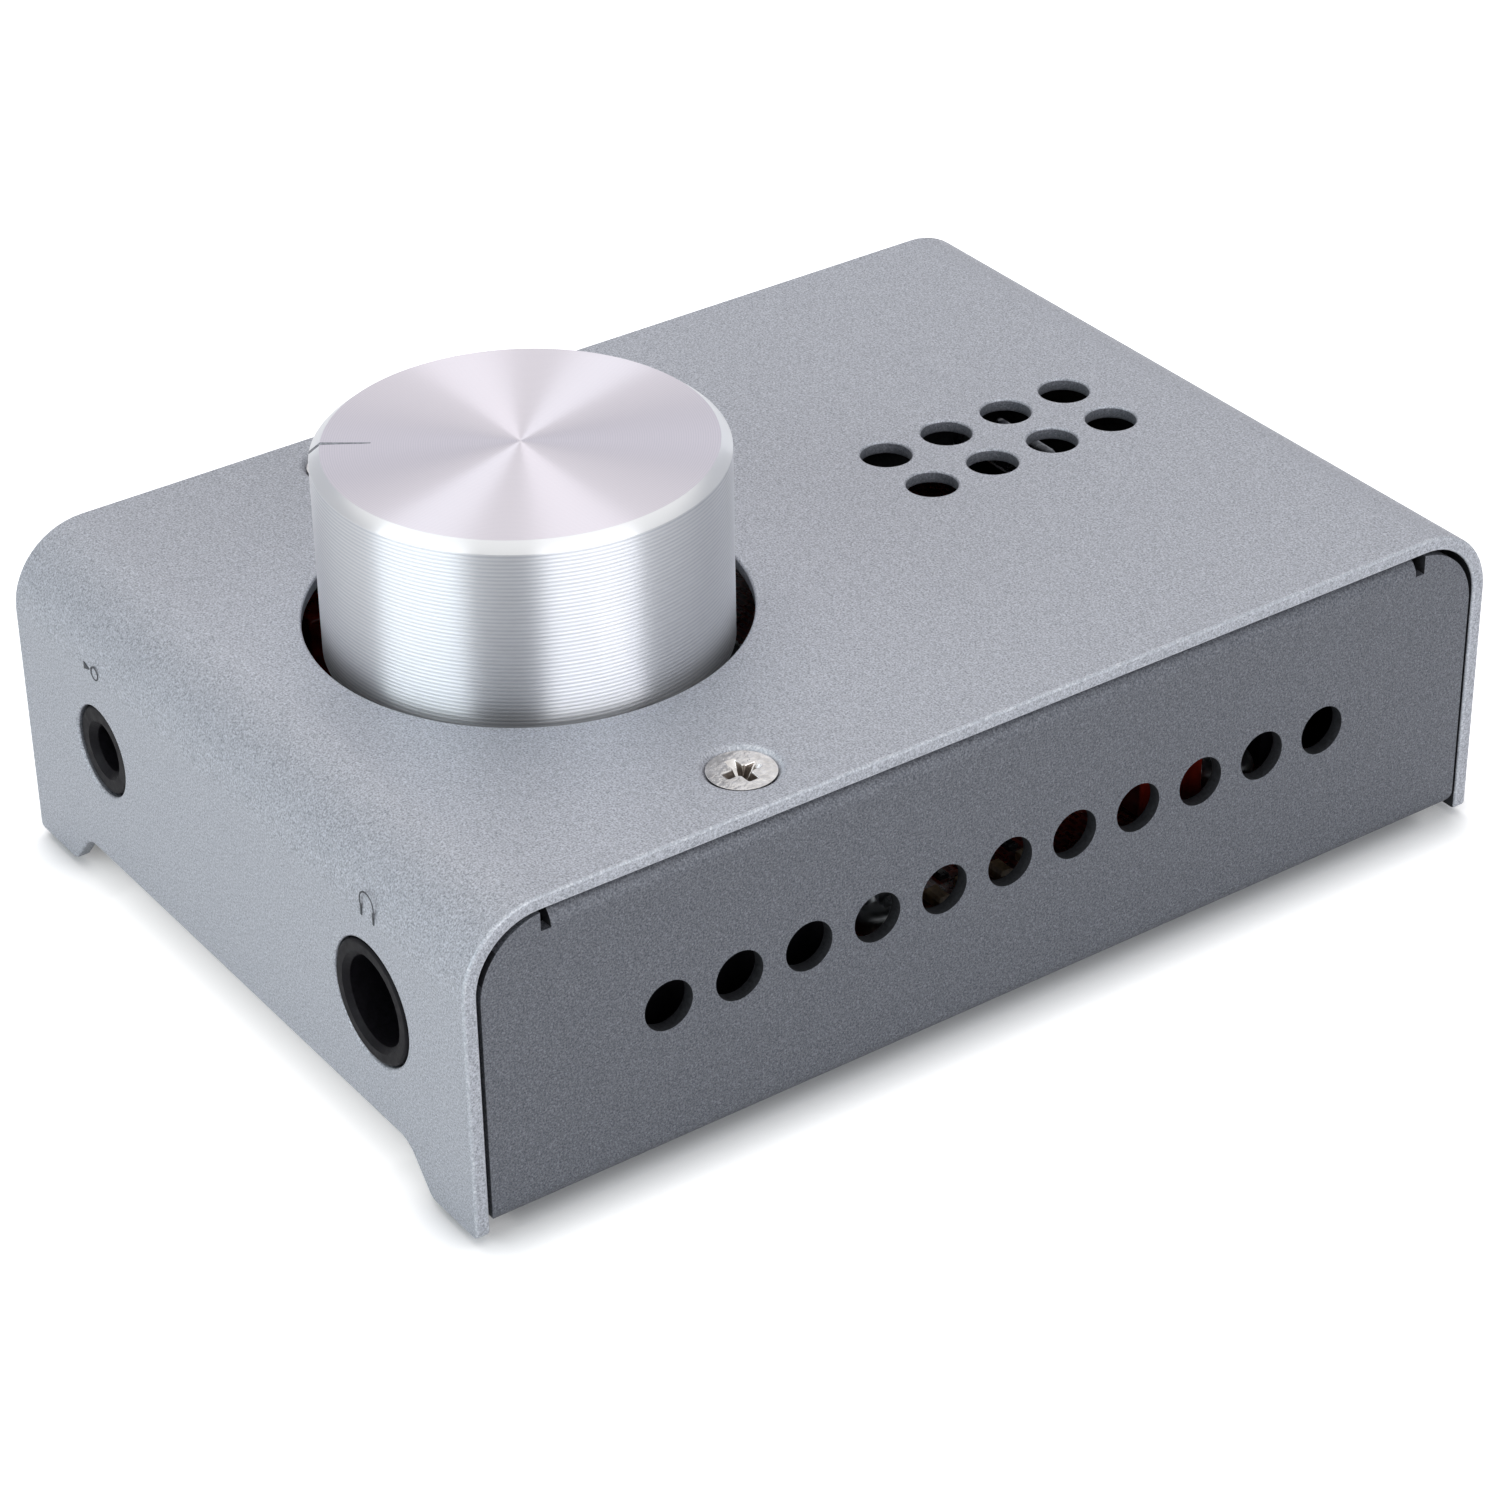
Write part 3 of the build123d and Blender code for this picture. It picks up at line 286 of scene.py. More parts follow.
def added(name, operator, **settings):
    """Adds an object with an operator and names it."""
    bpy.ops.object.select_all(action="DESELECT")
    operator(**settings)
    piece = bpy.context.object
    piece.name = name
    return piece


def new_box(name, corner, opposite):
    """A box between two opposite corners, given in any order."""
    low = Vector([min(pair) for pair in zip(corner, opposite)])
    high = Vector([max(pair) for pair in zip(corner, opposite)])
    return settle(added(
        name, bpy.ops.mesh.primitive_cube_add, size=1, location=(low + high) / 2,
        scale=high - low,
    ))


def new_rod(name, start, end, radius, end_radius=None, sides=HOLE_SIDES):
    """A rod, or a cone where it has an end radius, from one point to another."""
    start = Vector(start)
    end = Vector(end)
    arm = end - start
    return settle(added(
        name, bpy.ops.mesh.primitive_cone_add, vertices=sides, radius1=radius,
        radius2=radius if end_radius is None else end_radius, depth=arm.length,
        location=(start + end) / 2, rotation=arm.to_track_quat("Z", "Y").to_euler(),
    ))


def upright_rod(name, place, low, high, radius, **more):
    """A rod or cone that stands at a place, from one height to another."""
    return new_rod(name, (place[0], place[1], low), (place[0], place[1], high), radius, **more)


def pick(piece, kind, test):
    """Goes into edit mode and selects only the faces or edges that pass a test."""
    make_active(piece)
    bpy.ops.object.mode_set(mode="EDIT")
    bpy.ops.mesh.select_mode(type=kind)
    bpy.ops.mesh.select_all(action="DESELECT")
    mesh = bmesh.from_edit_mesh(piece.data)
    found = [one for one in (mesh.faces if kind == "FACE" else mesh.edges) if test(one)]
    if not found:
        raise RuntimeError(f"{piece.name}: nothing to select")
    for one in found:
        one.select_set(True)
    mesh.select_flush_mode()
    bmesh.update_edit_mesh(piece.data)


def pick_all(piece):
    """Goes into edit mode with the whole mesh selected."""
    make_active(piece)
    bpy.ops.object.mode_set(mode="EDIT")
    bpy.ops.mesh.select_all(action="SELECT")


def leave_edit():
    bpy.ops.object.mode_set(mode="OBJECT")


def near(value, place):
    """True where two lengths are the same to a micrometre."""
    return abs(value - place) < 1e-6


def middle(edge):
    return (edge.verts[0].co + edge.verts[1].co) / 2


def runs_along(edge, axis):
    """True for a straight edge that is parallel to an axis."""
    arm = edge.verts[1].co - edge.verts[0].co
    return abs(arm[axis]) > 0.999 * arm.length


def edges_along(axis, height=None):
    """A test for the edges parallel to an axis, at one height where it is given."""
    return lambda edge: runs_along(edge, axis) and (
        height is None or near(middle(edge).z, height)
    )


def facing(axis, sign):
    """A test for the faces that look along an axis, one way or the other."""
    return lambda face: sign * face.normal[axis] > FLAT


def round_edges(piece, radius, steps, test):
    """Rounds the edges that pass a test, or chamfers them where steps is 1."""
    pick(piece, "EDGE", test)
    bpy.ops.mesh.bevel(
        offset=radius, offset_type="OFFSET", segments=steps, profile=0.5, affect="EDGES",
        clamp_overlap=False,
    )
    leave_edit()


def delete_faces(piece, test):
    """Opens a mesh where faces pass a test."""
    pick(piece, "FACE", test)
    bpy.ops.mesh.delete(type="FACE")
    leave_edit()


def resize_faces(piece, test, scale, **centre):
    """Scales the faces that pass a test."""
    pick(piece, "FACE", test)
    bpy.ops.transform.resize(value=scale, **centre)
    leave_edit()


def extrude_faces(piece, test, move, scale=1.0, centre=None):
    """Draws faces out along a vector, and scales them sideways where a centre is given."""
    pick(piece, "FACE", test)
    bpy.ops.mesh.extrude_region_move(TRANSFORM_OT_translate={"value": tuple(move)})
    if centre:
        bpy.ops.transform.resize(value=(scale, scale, 1), center_override=centre)
    leave_edit()


def inset_face(piece, test, width, depth=0.0):
    """Insets the faces that pass a test, and pushes them in or out along their normal."""
    pick(piece, "FACE", test)
    bpy.ops.mesh.inset(thickness=width, depth=depth)
    leave_edit()


def bisect(piece, point, normal):
    """Cuts new edges where a plane crosses a mesh, and keeps both sides."""
    pick_all(piece)
    bpy.ops.mesh.bisect(plane_co=point, plane_no=normal, use_fill=False)
    leave_edit()


def merge_flat(piece, degrees, weld=0.0):
    """Merges the faces that lie in one plane, after welding corners where that is asked."""
    pick_all(piece)
    if weld:
        bpy.ops.mesh.remove_doubles(threshold=weld)
    bpy.ops.mesh.dissolve_limited(angle_limit=math.radians(degrees))
    leave_edit()


def apply_modifier(piece, kind, **settings):
    """Adds a modifier and applies it."""
    make_active(piece)
    bpy.ops.object.modifier_add(type=kind)
    modifier = piece.modifiers[-1]
    for name, value in settings.items():
        setattr(modifier, name, value)
    bpy.ops.object.modifier_apply(modifier=modifier.name)


def join(pieces):
    """Joins several objects into the first one."""
    make_active(pieces[0])
    for piece in pieces:
        piece.select_set(True)
    bpy.ops.object.join()
    return pieces[0]


def carve(piece, *tools, operation="DIFFERENCE"):
    """Cuts tools out of a piece, or adds them to it, and removes the tools."""
    tool = join(tools) if len(tools) > 1 else tools[0]
    apply_modifier(piece, "BOOLEAN", object=tool, operation=operation, solver="EXACT")
    bpy.data.objects.remove(tool)


def copy_of(piece, name):
    """A copy with its own mesh."""
    make_active(piece)
    bpy.ops.object.duplicate()
    duplicate = bpy.context.object
    duplicate.name = name
    return duplicate


def move_piece(piece, offset, quarter_turns=0):
    """Turns a piece about the upright axis and moves it, with its place in its mesh."""
    piece.matrix_world = Matrix.Translation(Vector(offset)) @ Matrix.Rotation(
        quarter_turns * math.pi / 2, 4, "Z"
    )
    return settle(piece)


def break_edges(piece, width, steps=3):
    """Rounds every sharp edge a little, as cutting, tumbling or a coat leaves it."""
    apply_modifier(
        piece, "BEVEL", width=width, segments=steps, limit_method="ANGLE",
        angle_limit=SMOOTH_ANGLE, miter_outer="MITER_ARC", use_clamp_overlap=True,
    )


def spread(piece, choose):
    """Gives each face the material slot that a function chooses for it."""
    for face in piece.data.polygons:
        face.material_index = choose(face.center, face.normal)


def paint(piece, *materials):
    """Gives a piece its materials."""
    piece.data.materials.clear()
    for material in materials:
        piece.data.materials.append(material)


def finish(piece, body, nodes, slot, *materials):
    """Shades and paints a piece, ties it to its body and lets it stand for its CAD nodes."""
    make_active(piece)
    bpy.ops.object.shade_smooth_by_angle(angle=SMOOTH_ANGLE)
    apply_modifier(piece, "WEIGHTED_NORMAL", keep_sharp=True, weight=80)
    paint(piece, *materials)
    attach(piece, body)
    if nodes:
        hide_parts(*nodes)


def refined_copy(node, name, edge_break, slot, finish_name, body="case"):
    """A merged, smoothly shaded copy of a CAD node, its edges broken by some millimetres."""
    piece = copy_of(frame["nodes"][node], name)
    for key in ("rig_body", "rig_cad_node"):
        del piece[key]
    piece.parent = None
    merge_flat(piece, 1, weld=0.0005 * MM)
    break_edges(piece, edge_break * MM, steps=2)
    finish(piece, body, [node], slot, plain(finish_name))


def set_finish(finish_name, *nodes):
    """Gives CAD nodes whose shape is right a finish of the table."""
    for node in nodes:
        paint(frame["nodes"][node], plain(finish_name))


# ---------------------------------------------------------------- material helpers
def linear(code):
    """A six-digit sRGB hex code as a linear colour with full alpha."""
    values = [int(code[i:i + 2], 16) / 255 for i in (0, 2, 4)]
    return [v / 12.92 if v <= 0.04045 else ((v + 0.055) / 1.055) ** 2.4 for v in values] + [1]


def add(tree, kind, inputs, **settings):
    """Adds a node with its settings, and gives each input its value or links it to a socket."""
    node = tree.nodes.new("ShaderNode" + kind)
    for name, value in settings.items():
        setattr(node, name, value)
    for name, value in inputs.items():
        if isinstance(value, bpy.types.NodeSocket):
            tree.links.new(value, node.inputs[name])
        else:
            node.inputs[name].default_value = value
    return node


def calculate(tree, operation, *values):
    """One step of arithmetic on sockets and numbers."""
    return add(tree, "Math", dict(enumerate(values)), operation=operation).outputs["Value"]


def noise(tree, place, size, detail):
    """Noise in spots of a given size."""
    spots = add(tree, "TexNoise", {"Vector": place, "Scale": 1 / size, "Detail": detail})
    return spots.outputs["Fac"]


def stretch(tree, value, low, high, to_low=0.0, to_high=1.0):
    """Stretches the range between two values to another range."""
    limits = {"From Min": low, "From Max": high, "To Min": to_low, "To Max": to_high}
    return add(tree, "MapRange", {"Value": value, **limits}).outputs["Result"]


def blend(tree, level, dark, light):
    """A colour between two others."""
    return add(tree, "Mix", {0: level, 6: dark, 7: light}, data_type="RGBA").outputs[2]


def blotches(tree, place, size, dark, light, detail=2.0):
    """Colour that wanders between two tones in spots of a given size."""
    level = stretch(tree, noise(tree, place, size, detail), 0.3, 0.7)
    return blend(tree, level, linear(dark), linear(light))


def uneven(tree, place, size, low, high):
    """A roughness that wanders between two values."""
    return stretch(tree, noise(tree, place, size, 3.0), 0.3, 0.7, low, high)


def bumpy(tree, height, relief, **settings):
    """A surface normal that a relief of a given height tilts."""
    inputs = {"Distance": height, "Height": relief}
    return add(tree, "Bump", inputs, **settings).outputs["Normal"]


def new_material(name, surface):
    """A material whose shader holds the values that are the same all over."""
    material = bpy.data.materials.new(name)
    material.use_nodes = True
    tree = material.node_tree
    shader = tree.nodes["Principled BSDF"]
    for socket, value in surface.items():
        shader.inputs[socket].default_value = value
    return material, tree, shader


def new_finish(name, surface):
    """A new material for a piece, with the place on the piece that its patterns follow."""
    material, tree, shader = new_material(name, surface)
    return material, tree, shader, add(tree, "TexCoord", {}).outputs["Object"]


def wire(tree, shader, **sockets):
    """Links sockets to the shader's inputs, whose names have spaces for underscores."""
    for name, socket in sockets.items():
        tree.links.new(socket, shader.inputs[name.replace("_", " ")])


# ---------------------------------------------------------------- materials
METAL = {"Metallic": 1.0}

# Finishes that wander a little in colour and roughness over a fine relief: the darkest and
# lightest tone, each a hex code or the name of a setting, the size of the spots, the
# roughness from and to, the size and height of the relief, and the shader's other values.
# Sizes are in millimetres.
PLAIN_FINISHES = {
    # A dark matt grey with a fine crystal grain: painted shade inside the case and its holes.
    "Phosphated steel": (
        "bare_dark", "bare_light", 0.2, (0.6, 0.75), (0.15, 0.015),
        {"IOR": 1.6, "Specular IOR Level": 0.3},
    ),
    # The marker's milled groove, duller than the turned faces round it and much darker, as painted
    # shade in the groove.
    "Milled aluminium": ("77797F", "9C9EA4", 0.2, (0.4, 0.5), (0.1, 0.006), METAL),
    # Nickel-plated steel: warm, bright and faintly hazy, with the dull marks of tumbling.
    "Nickel plated steel": ("D3CFCC", "nickel", 0.5, (0.12, 0.26), (0.4, 0.03), METAL),
    # The plating runs thin inside a driver recess, which is dark as painted shade, and oily.
    "Thin nickel plate": ("5E5650", "7D746C", 0.3, (0.3, 0.45), (0.2, 0.01), METAL),
    # Black-oxided steel: near black, oily and slightly mottled.
    "Black oxide steel": (
        "17171A", "2A2A2E", 0.4, (0.3, 0.45), (0.2, 0.004), {"Metallic": 0.9}
    ),
    # Zinc-plated steel: a cool grey with a frosted spangle of about a millimetre.
    "Zinc plated steel": ("A4A8AC", "C4C8CB", 0.9, (0.3, 0.45), (0.3, 0.005), METAL),
    # Drawn aluminium: a soft grey, slightly cloudy from the die.
    "Drawn aluminium": ("B4B6B9", "D0D2D4", 0.5, (0.32, 0.44), (0.25, 0.006), METAL),
    # Tin-plated steel: bright and soft, with faint clouds in the plating.
    "Tin plated steel": ("B8BABD", "D8DADC", 0.6, (0.18, 0.32), (0.4, 0.004), METAL),
    # Tinned leads: a bright grey dulled by flux.
    "Tinned copper": ("A9ABAE", "CFD1D3", 0.3, (0.25, 0.4), (0.2, 0.006), METAL),
    # Rolled phosphor bronze strip: a reddish gold.
    "Phosphor bronze": ("B07A48", "CE9A62", 0.4, (0.22, 0.34), (0.2, 0.003), METAL),
    # Turned brass: yellow and bright, with duller patches where the tool rubbed.
    "Turned brass": ("B99A55", "D8BC78", 0.4, (0.2, 0.36), (0.15, 0.004), METAL),
    # Glass-filled nylon from a spark-eroded mould: near black with a fine satin grain.
    "Moulded nylon": (
        "0B0A0D", "jack_plastic", 0.3, (0.45, 0.6), (0.16, 0.014),
        {"IOR": 1.53, "Specular IOR Level": 0.12},
    ),
    # White acetal: milky and waxy, for the parts that slide.
    "Moulded acetal": (
        "D5D3CC", "E6E4DE", 0.8, (0.35, 0.45), (0.25, 0.006),
        {"IOR": 1.48, "Subsurface Weight": 0.15, "Subsurface Scale": 0.4 * MM},
    ),
    # Moulded rubber: a dark matt grey that holds dust in its pores.
    "Moulded rubber": ("1B1B1C", "333334", 0.7, (0.7, 0.9), (0.2, 0.03), {"IOR": 1.52}),
    # Phenolic paper laminate: brown, and cloudy from the paper just under the face.
    "Phenolic laminate": ("6B4326", "8A5C38", 0.8, (0.4, 0.55), (0.2, 0.01), {"IOR": 1.6}),
    # Moulded chip epoxy: charcoal, matt and finely pitted.
    "Moulded epoxy": ("202022", "313134", 0.25, (0.5, 0.65), (0.12, 0.01), {"IOR": 1.55}),
    # Dipped film capacitor: glossy red with soft dips where the lacquer shrank.
    "Red lacquer": (
        "5E150D", "842517", 1.2, (0.15, 0.25), (1.5, 0.05),
        {"IOR": 1.52, "Coat Weight": 0.6, "Coat Roughness": 0.08},
    ),
    # Shrunk PVC sleeve: thin, dark and glossy, pulled into faint ripples.
    "Shrink sleeve": ("1A1D24", "2A2F3A", 1.0, (0.2, 0.32), (1.2, 0.03), {"IOR": 1.54}),
    # Pressed ferrite: a dull dark grey with a grain like fine stone.
    "Pressed ferrite": ("35363A", "4E5055", 0.3, (0.6, 0.8), (0.2, 0.02), {"IOR": 2.2}),
    # Fired ceramic chip: tan and faintly glossy.
    "Fired ceramic": ("8C7355", "AB9272", 0.3, (0.3, 0.45), (0.15, 0.006), {"IOR": 1.7}),
    # Black glass glaze over a thick-film resistor: dark and shiny.
    "Resistor glaze": ("131315", "212124", 0.3, (0.18, 0.3), (0.3, 0.006), {"IOR": 1.52}),
    # Screen-printed epoxy ink: dark grey and matt, broken a little by the coat's grain.
    "Screen printed ink": ("34363B", "ink", 0.12, (0.5, 0.65), (0.25, 0.01), {"IOR": 1.5}),
}


def plain(name):
    """A finish of the table, made once."""
    if name in bpy.data.materials:
        return bpy.data.materials[name]
    dark, light, spot, rough, relief, surface = PLAIN_FINISHES[name]
    chosen = bpy.context.scene.amplifier.finish
    size = spot * MM
    bump_size, bump_height = (value * MM for value in relief)
    material, tree, shader, place = new_finish(name, surface)
    wire(
        tree, shader,
        Base_Color=blotches(
            tree, place, size, getattr(chosen, dark, dark), getattr(chosen, light, light)
        ),
        Roughness=uneven(tree, place, 2 * size, *rough),
        Normal=bumpy(tree, bump_height, noise(tree, place, bump_size, 2.0)),
    )
    return material


def powder_coat(name, tones, metallic, sparkle):
    """Powder coat on sheet metal, charged on as dust and fused in an oven.

    The grains melt together but not flat, which leaves fine bumps of about 0.15 mm. The metal flakes
    in them are lighter, and their glints are painted into the colour as lighter specks. Real flakes
    are near 0.05 mm across; these are 0.11 mm, because finer ones would not show. The two tones are
    the settings whose names begin with the word given.
    """
    chosen = bpy.context.scene.amplifier.finish
    dark = getattr(chosen, tones + "_dark")
    light = getattr(chosen, tones + "_light")
    material, tree, shader, place = new_finish(name, {"Metallic": metallic, "IOR": 1.5})
    base = blotches(tree, place, 0.13 * MM, dark, light, detail=3.0)
    # Lighter specks for the flakes: their own lighter tone, and a painted glint.
    flakes = add(tree, "TexVoronoi", {"Vector": place, "Scale": 1 / (0.11 * MM)})
    glint = stretch(tree, flakes.outputs["Color"], 0.6, 0.8, to_high=sparkle)
    wire(
        tree, shader, Base_Color=blend(tree, glint, base, linear("E4E6EA")),
        Roughness=uneven(tree, place, 0.3 * MM, 0.38, 0.54),
        Normal=bumpy(tree, 0.03 * MM, noise(tree, place, 0.16 * MM, 3.0)),
    )
    return material


def ringed_metal(name, dark, light, pitch, height, roughness, by_radius=False):
    """Aluminium cut on a lathe, whose tool leaves a fine thread-like groove at each turn.

    Light spreads across the grooves and not along them: a fan of bright and dull sectors on
    the faced top, and upright bands on the side. A real feed is near 0.1 mm a turn; it is
    drawn up to three times as coarse, so that the lines show.
    """
    material, tree, shader, place = new_finish(name, {
        **METAL, "Anisotropic": 0.97, "Anisotropic Rotation": 0.25, "Roughness": roughness,
    })
    centred = add(
        tree, "Mapping", {"Vector": place, "Location": (-KNOB_CENTRE.x, -KNOB_CENTRE.y, 0)}
    ).outputs["Vector"]
    if by_radius:
        flat = add(tree, "VectorMath", {0: centred, 1: (1, 1, 0)}, operation="MULTIPLY")
        radius = add(tree, "VectorMath", {0: flat.outputs["Vector"]}, operation="LENGTH")
        travel = radius.outputs["Value"]
    else:
        travel = add(tree, "SeparateXYZ", {"Vector": centred}).outputs["Z"]
    phase = calculate(tree, "MULTIPLY", travel, 2 * math.pi / pitch)
    groove = calculate(tree, "SINE", phase)
    turns = calculate(tree, "MULTIPLY", travel, 1 / pitch)
    chatter = add(
        tree, "TexNoise", {"W": turns, "Scale": 1.7, "Detail": 2.0}, noise_dimensions="1D"
    ).outputs["Fac"]
    relief = calculate(tree, "MULTIPLY_ADD", chatter, 1.2, groove)
    # Darker towards the groove bottoms: painted shade in the grooves, varied at random by the
    # chatter.
    level = stretch(tree, relief, -0.6, 1.8)
    wire(
        tree, shader, Base_Color=blend(tree, level, linear(dark), linear(light)),
        Normal=bumpy(tree, height, relief),
        Tangent=add(tree, "Tangent", {}, direction_type="RADIAL", axis="Z").outputs["Tangent"],
    )
    return material


def circuit_laminate(code):
    """Glass-epoxy board under a dark red solder mask.

    The copper tracks below lift the mask into lighter lines on a grid of about 1.3 mm, and
    the mask itself is glossy like varnish.
    """
    material, tree, shader, place = new_finish(
        "Solder mask on glass epoxy", {"IOR": 1.55, "Coat Weight": 0.4, "Coat Roughness": 0.12}
    )
    white = (1, 1, 1, 1)
    grid = add(tree, "TexBrick", {
        "Vector": place, "Scale": 1 / (2.6 * MM), "Color1": white, "Color2": white,
        "Mortar": (0, 0, 0, 1), "Mortar Size": 0.06, "Mortar Smooth": 0.2,
    }).outputs["Color"]
    wire(
        tree, shader, Base_Color=blend(tree, grid, linear("6E2A1E"), linear(code)),
        Roughness=uneven(tree, place, 1.5 * MM, 0.22, 0.35),
        Normal=bumpy(tree, 0.03 * MM, grid, invert=True),
    )
    return material


# ---------------------------------------------------------------- cover
def skirt_tool(cover):
    """The opening between the legs: a block that narrows upwards to rounded corners."""
    half = COVER_HIGH.x - cover.leg_width
    top = COVER_LOW.z + cover.skirt_rise
    tool = new_box(
        "skirt_tool", (-half, 2 * COVER_LOW.y, COVER_LOW.z), (half, 2 * COVER_HIGH.y, top)
    )
    resize_faces(tool, facing(2, 1), ((half - cover.leg_slope) / half, 1, 1))
    extrude_faces(tool, facing(2, -1), (0, 0, -CLEAR))
    round_edges(tool, cover.skirt_corner, 8, edges_along(1, top))
    return tool


def top_vent_tools(cover):
    """Rods through the top: two rows of vents."""
    last = COVER_HIGH.y - cover.vent_inset
    return [
        upright_rod(
            "vent_tool", (side * cover.vent_pitch, last - column * cover.vent_pitch),
            COVER_HIGH.z - DEEP, COVER_HIGH.z + CLEAR, cover.vent_radius,
        )
        for side in (-0.5, 0.5)
        for column in range(cover.vent_columns)
    ]


def screw_places():
    """Centres of the two cover screws at the top of their heads."""
    radius = (SCREWS_HIGH.y - SCREWS_LOW.y) / 2
    y = (SCREWS_HIGH.y + SCREWS_LOW.y) / 2
    return [Vector((side * (SCREWS_HIGH.x - radius), y, SCREWS_HIGH.z)) for side in (1, -1)]


def countersink_tools(cover):
    """Cones that take the heads of the cover screws."""
    slope = math.tan(cover.countersink_angle)
    above = 0.4 * MM
    below = cover.sheet + 0.2 * MM
    return [
        upright_rod(
            "countersink_tool", place, COVER_HIGH.z - below, COVER_HIGH.z + above,
            cover.countersink - below * slope, end_radius=cover.countersink + above * slope,
        )
        for place in screw_places()
    ]


def socket_tools(cover, jack):
    """Rods through the front and rear walls for the noses of the jacks."""
    tools = []
    for name, mount in MOUNTS.items():
        if mount["kind"] != "bore":
            continue
        x, _, z = mount["pos_m"]
        side = mount["axis"][1]
        nose = jack.large_nose if name == "headphone_socket" else jack.small_nose
        tools.append(new_rod(
            "socket_tool", (x, side * (COVER_HIGH.y - DEEP), z),
            (x, side * (COVER_HIGH.y + CLEAR), z), nose + cover.nose_gap, sides=ROUND_SIDES,
        ))
    return tools


def port_tools(cover):
    """Rounded blocks through the rear wall for the micro USB sockets."""
    tools = []
    gap = cover.port_gap
    board_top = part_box("circuit_board")[1].z
    for node in ("data_usb_shell", "power_usb_shell"):
        low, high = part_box(node)
        tool = new_box(
            "port_tool", (low.x - gap, COVER_HIGH.y - DEEP, board_top - gap),
            (high.x + gap, COVER_HIGH.y + CLEAR, high.z + gap),
        )
        round_edges(tool, cover.port_corner, 8, edges_along(1))
        tools.append(tool)
    return tools


def depth_in_cover(point, cover):
    """How deep a point lies under the cover's outer skin."""
    over_y = abs(point.y) - (COVER_HIGH.y - cover.bend)
    over_z = point.z - (COVER_HIGH.z - cover.bend)
    if over_y > 0 and over_z > 0:
        return cover.bend - math.hypot(over_y, over_z)
    return min(cover.bend - over_y, cover.bend - over_z)


def cover_slot(centre, normal, cover):
    """The coat outside; a lighter coat on the cut sides' arrises, built up there and also painting a
    highlight, and on the rear of the countersinks as a painted highlight; a darker coat in the holes
    and near-black inside, both painted shade."""
    coat, bead, shaded_inside, shaded_hole_coat = range(4)
    if COVER_HIGH.x - abs(centre.x) < cover.edge_break:
        return bead if abs(normal.x) < SQUARE else coat
    skin = cover.edge_break * SKIN_SHARE
    depth = depth_in_cover(centre, cover)
    near_screw = min((centre - place).length for place in screw_places()) < cover.countersink
    # The rear of each countersink gets the lighter coat as a painted highlight.
    if near_screw and depth > 0.03 * MM and normal.z < SQUARE:
        forwards = normal.y < -0.2
        return bead if forwards else coat
    on_skirt = centre.z < COVER_LOW.z + cover.skirt_rise + skin and abs(normal.y) < 0.7
    if depth < skin or on_skirt:
        return coat
    # Hole walls get a darker coat and the inside a near-black one: both painted shade.
    return shaded_hole_coat if depth < cover.sheet - 0.02 * MM else shaded_inside


class AMPLIFIER_OT_cover(Operator):
    """Folds the top cover from one sheet and cuts its holes"""

    bl_idname = "amplifier.cover"
    bl_label = "Top Cover"

    def execute(self, context):
        settings = context.scene.amplifier
        cover = settings.cover
        piece = new_box("folded_cover", COVER_LOW, COVER_HIGH)
        round_edges(piece, cover.bend, BEND_STEPS, edges_along(0, COVER_HIGH.z))
        delete_faces(piece, lambda face: abs(face.normal.x) > FLAT or face.normal.z < -FLAT)
        apply_modifier(piece, "SOLIDIFY", thickness=cover.sheet, offset=-1)
        carve(piece, skirt_tool(cover))
        round_edges(piece, cover.leg_corner, 6, edges_along(1, COVER_LOW.z))
        knob_hole = upright_rod(
            "knob_tool", KNOB_CENTRE, COVER_HIGH.z - DEEP, COVER_HIGH.z + CLEAR,
            KNOB_RADIUS + cover.knob_gap, sides=settings.knob.sides,
        )
        carve(piece, knob_hole, *top_vent_tools(cover), *countersink_tools(cover))
        carve(piece, *socket_tools(cover, settings.jacks), *port_tools(cover))
        break_edges(piece, cover.edge_break)
        # The lighter edge coat is partly built-up coat and partly a painted highlight; the last two
        # finishes are painted shade inside the sheet and in its holes.
        finish(
            piece, "case", ["top_cover"], "silver_powder_coat",
            powder_coat("Silver powder coat", "silver", 0.3, 0.22),
            powder_coat("Silver coat bead", "bead", 0.3, 0.7),
            plain("Phosphated steel"),
            powder_coat("Thin silver coat", "wall", 0.2, 0.1),
        )
        spread(piece, lambda centre, normal: cover_slot(centre, normal, cover))
        return {"FINISHED"}


# ---------------------------------------------------------------- chassis
def add_flanges(piece, chassis, end):
    """Draws a flange inwards from the top of each side panel."""
    low = CHASSIS_HIGH.z - chassis.sheet
    inner = CHASSIS_HIGH.x - chassis.sheet
    for y in (-end, end):
        bisect(piece, (0, y, 0), (0, 1, 0))
    bisect(piece, (0, 0, low), (0, 0, 1))

    def on_strip(face, side):
        """True for the strip inside a panel from which its flange grows."""
        centre = face.calc_center_median()
        inside = face.normal.x * side < -FLAT and near(centre.x, side * inner)
        return inside and centre.z > low and abs(centre.y) < end

    for side in (-1, 1):
        extrude_faces(
            piece, lambda face: on_strip(face, side),
            (-side * (chassis.flange_width - chassis.sheet), 0, 0),
        )


def relief_tools(chassis, end):
    """Blocks that cut the bend reliefs at both ends of each flange."""
    inner = CHASSIS_HIGH.x - chassis.flange_width - CLEAR
    return [
        new_box(
            "relief_tool", (side * inner, way * end, CHASSIS_HIGH.z - chassis.notch_depth),
            (side * (CHASSIS_HIGH.x + CLEAR), way * (end + chassis.notch_width),
             CHASSIS_HIGH.z + CLEAR),
        )
        for side in (-1, 1)
        for way in (-1, 1)
    ]


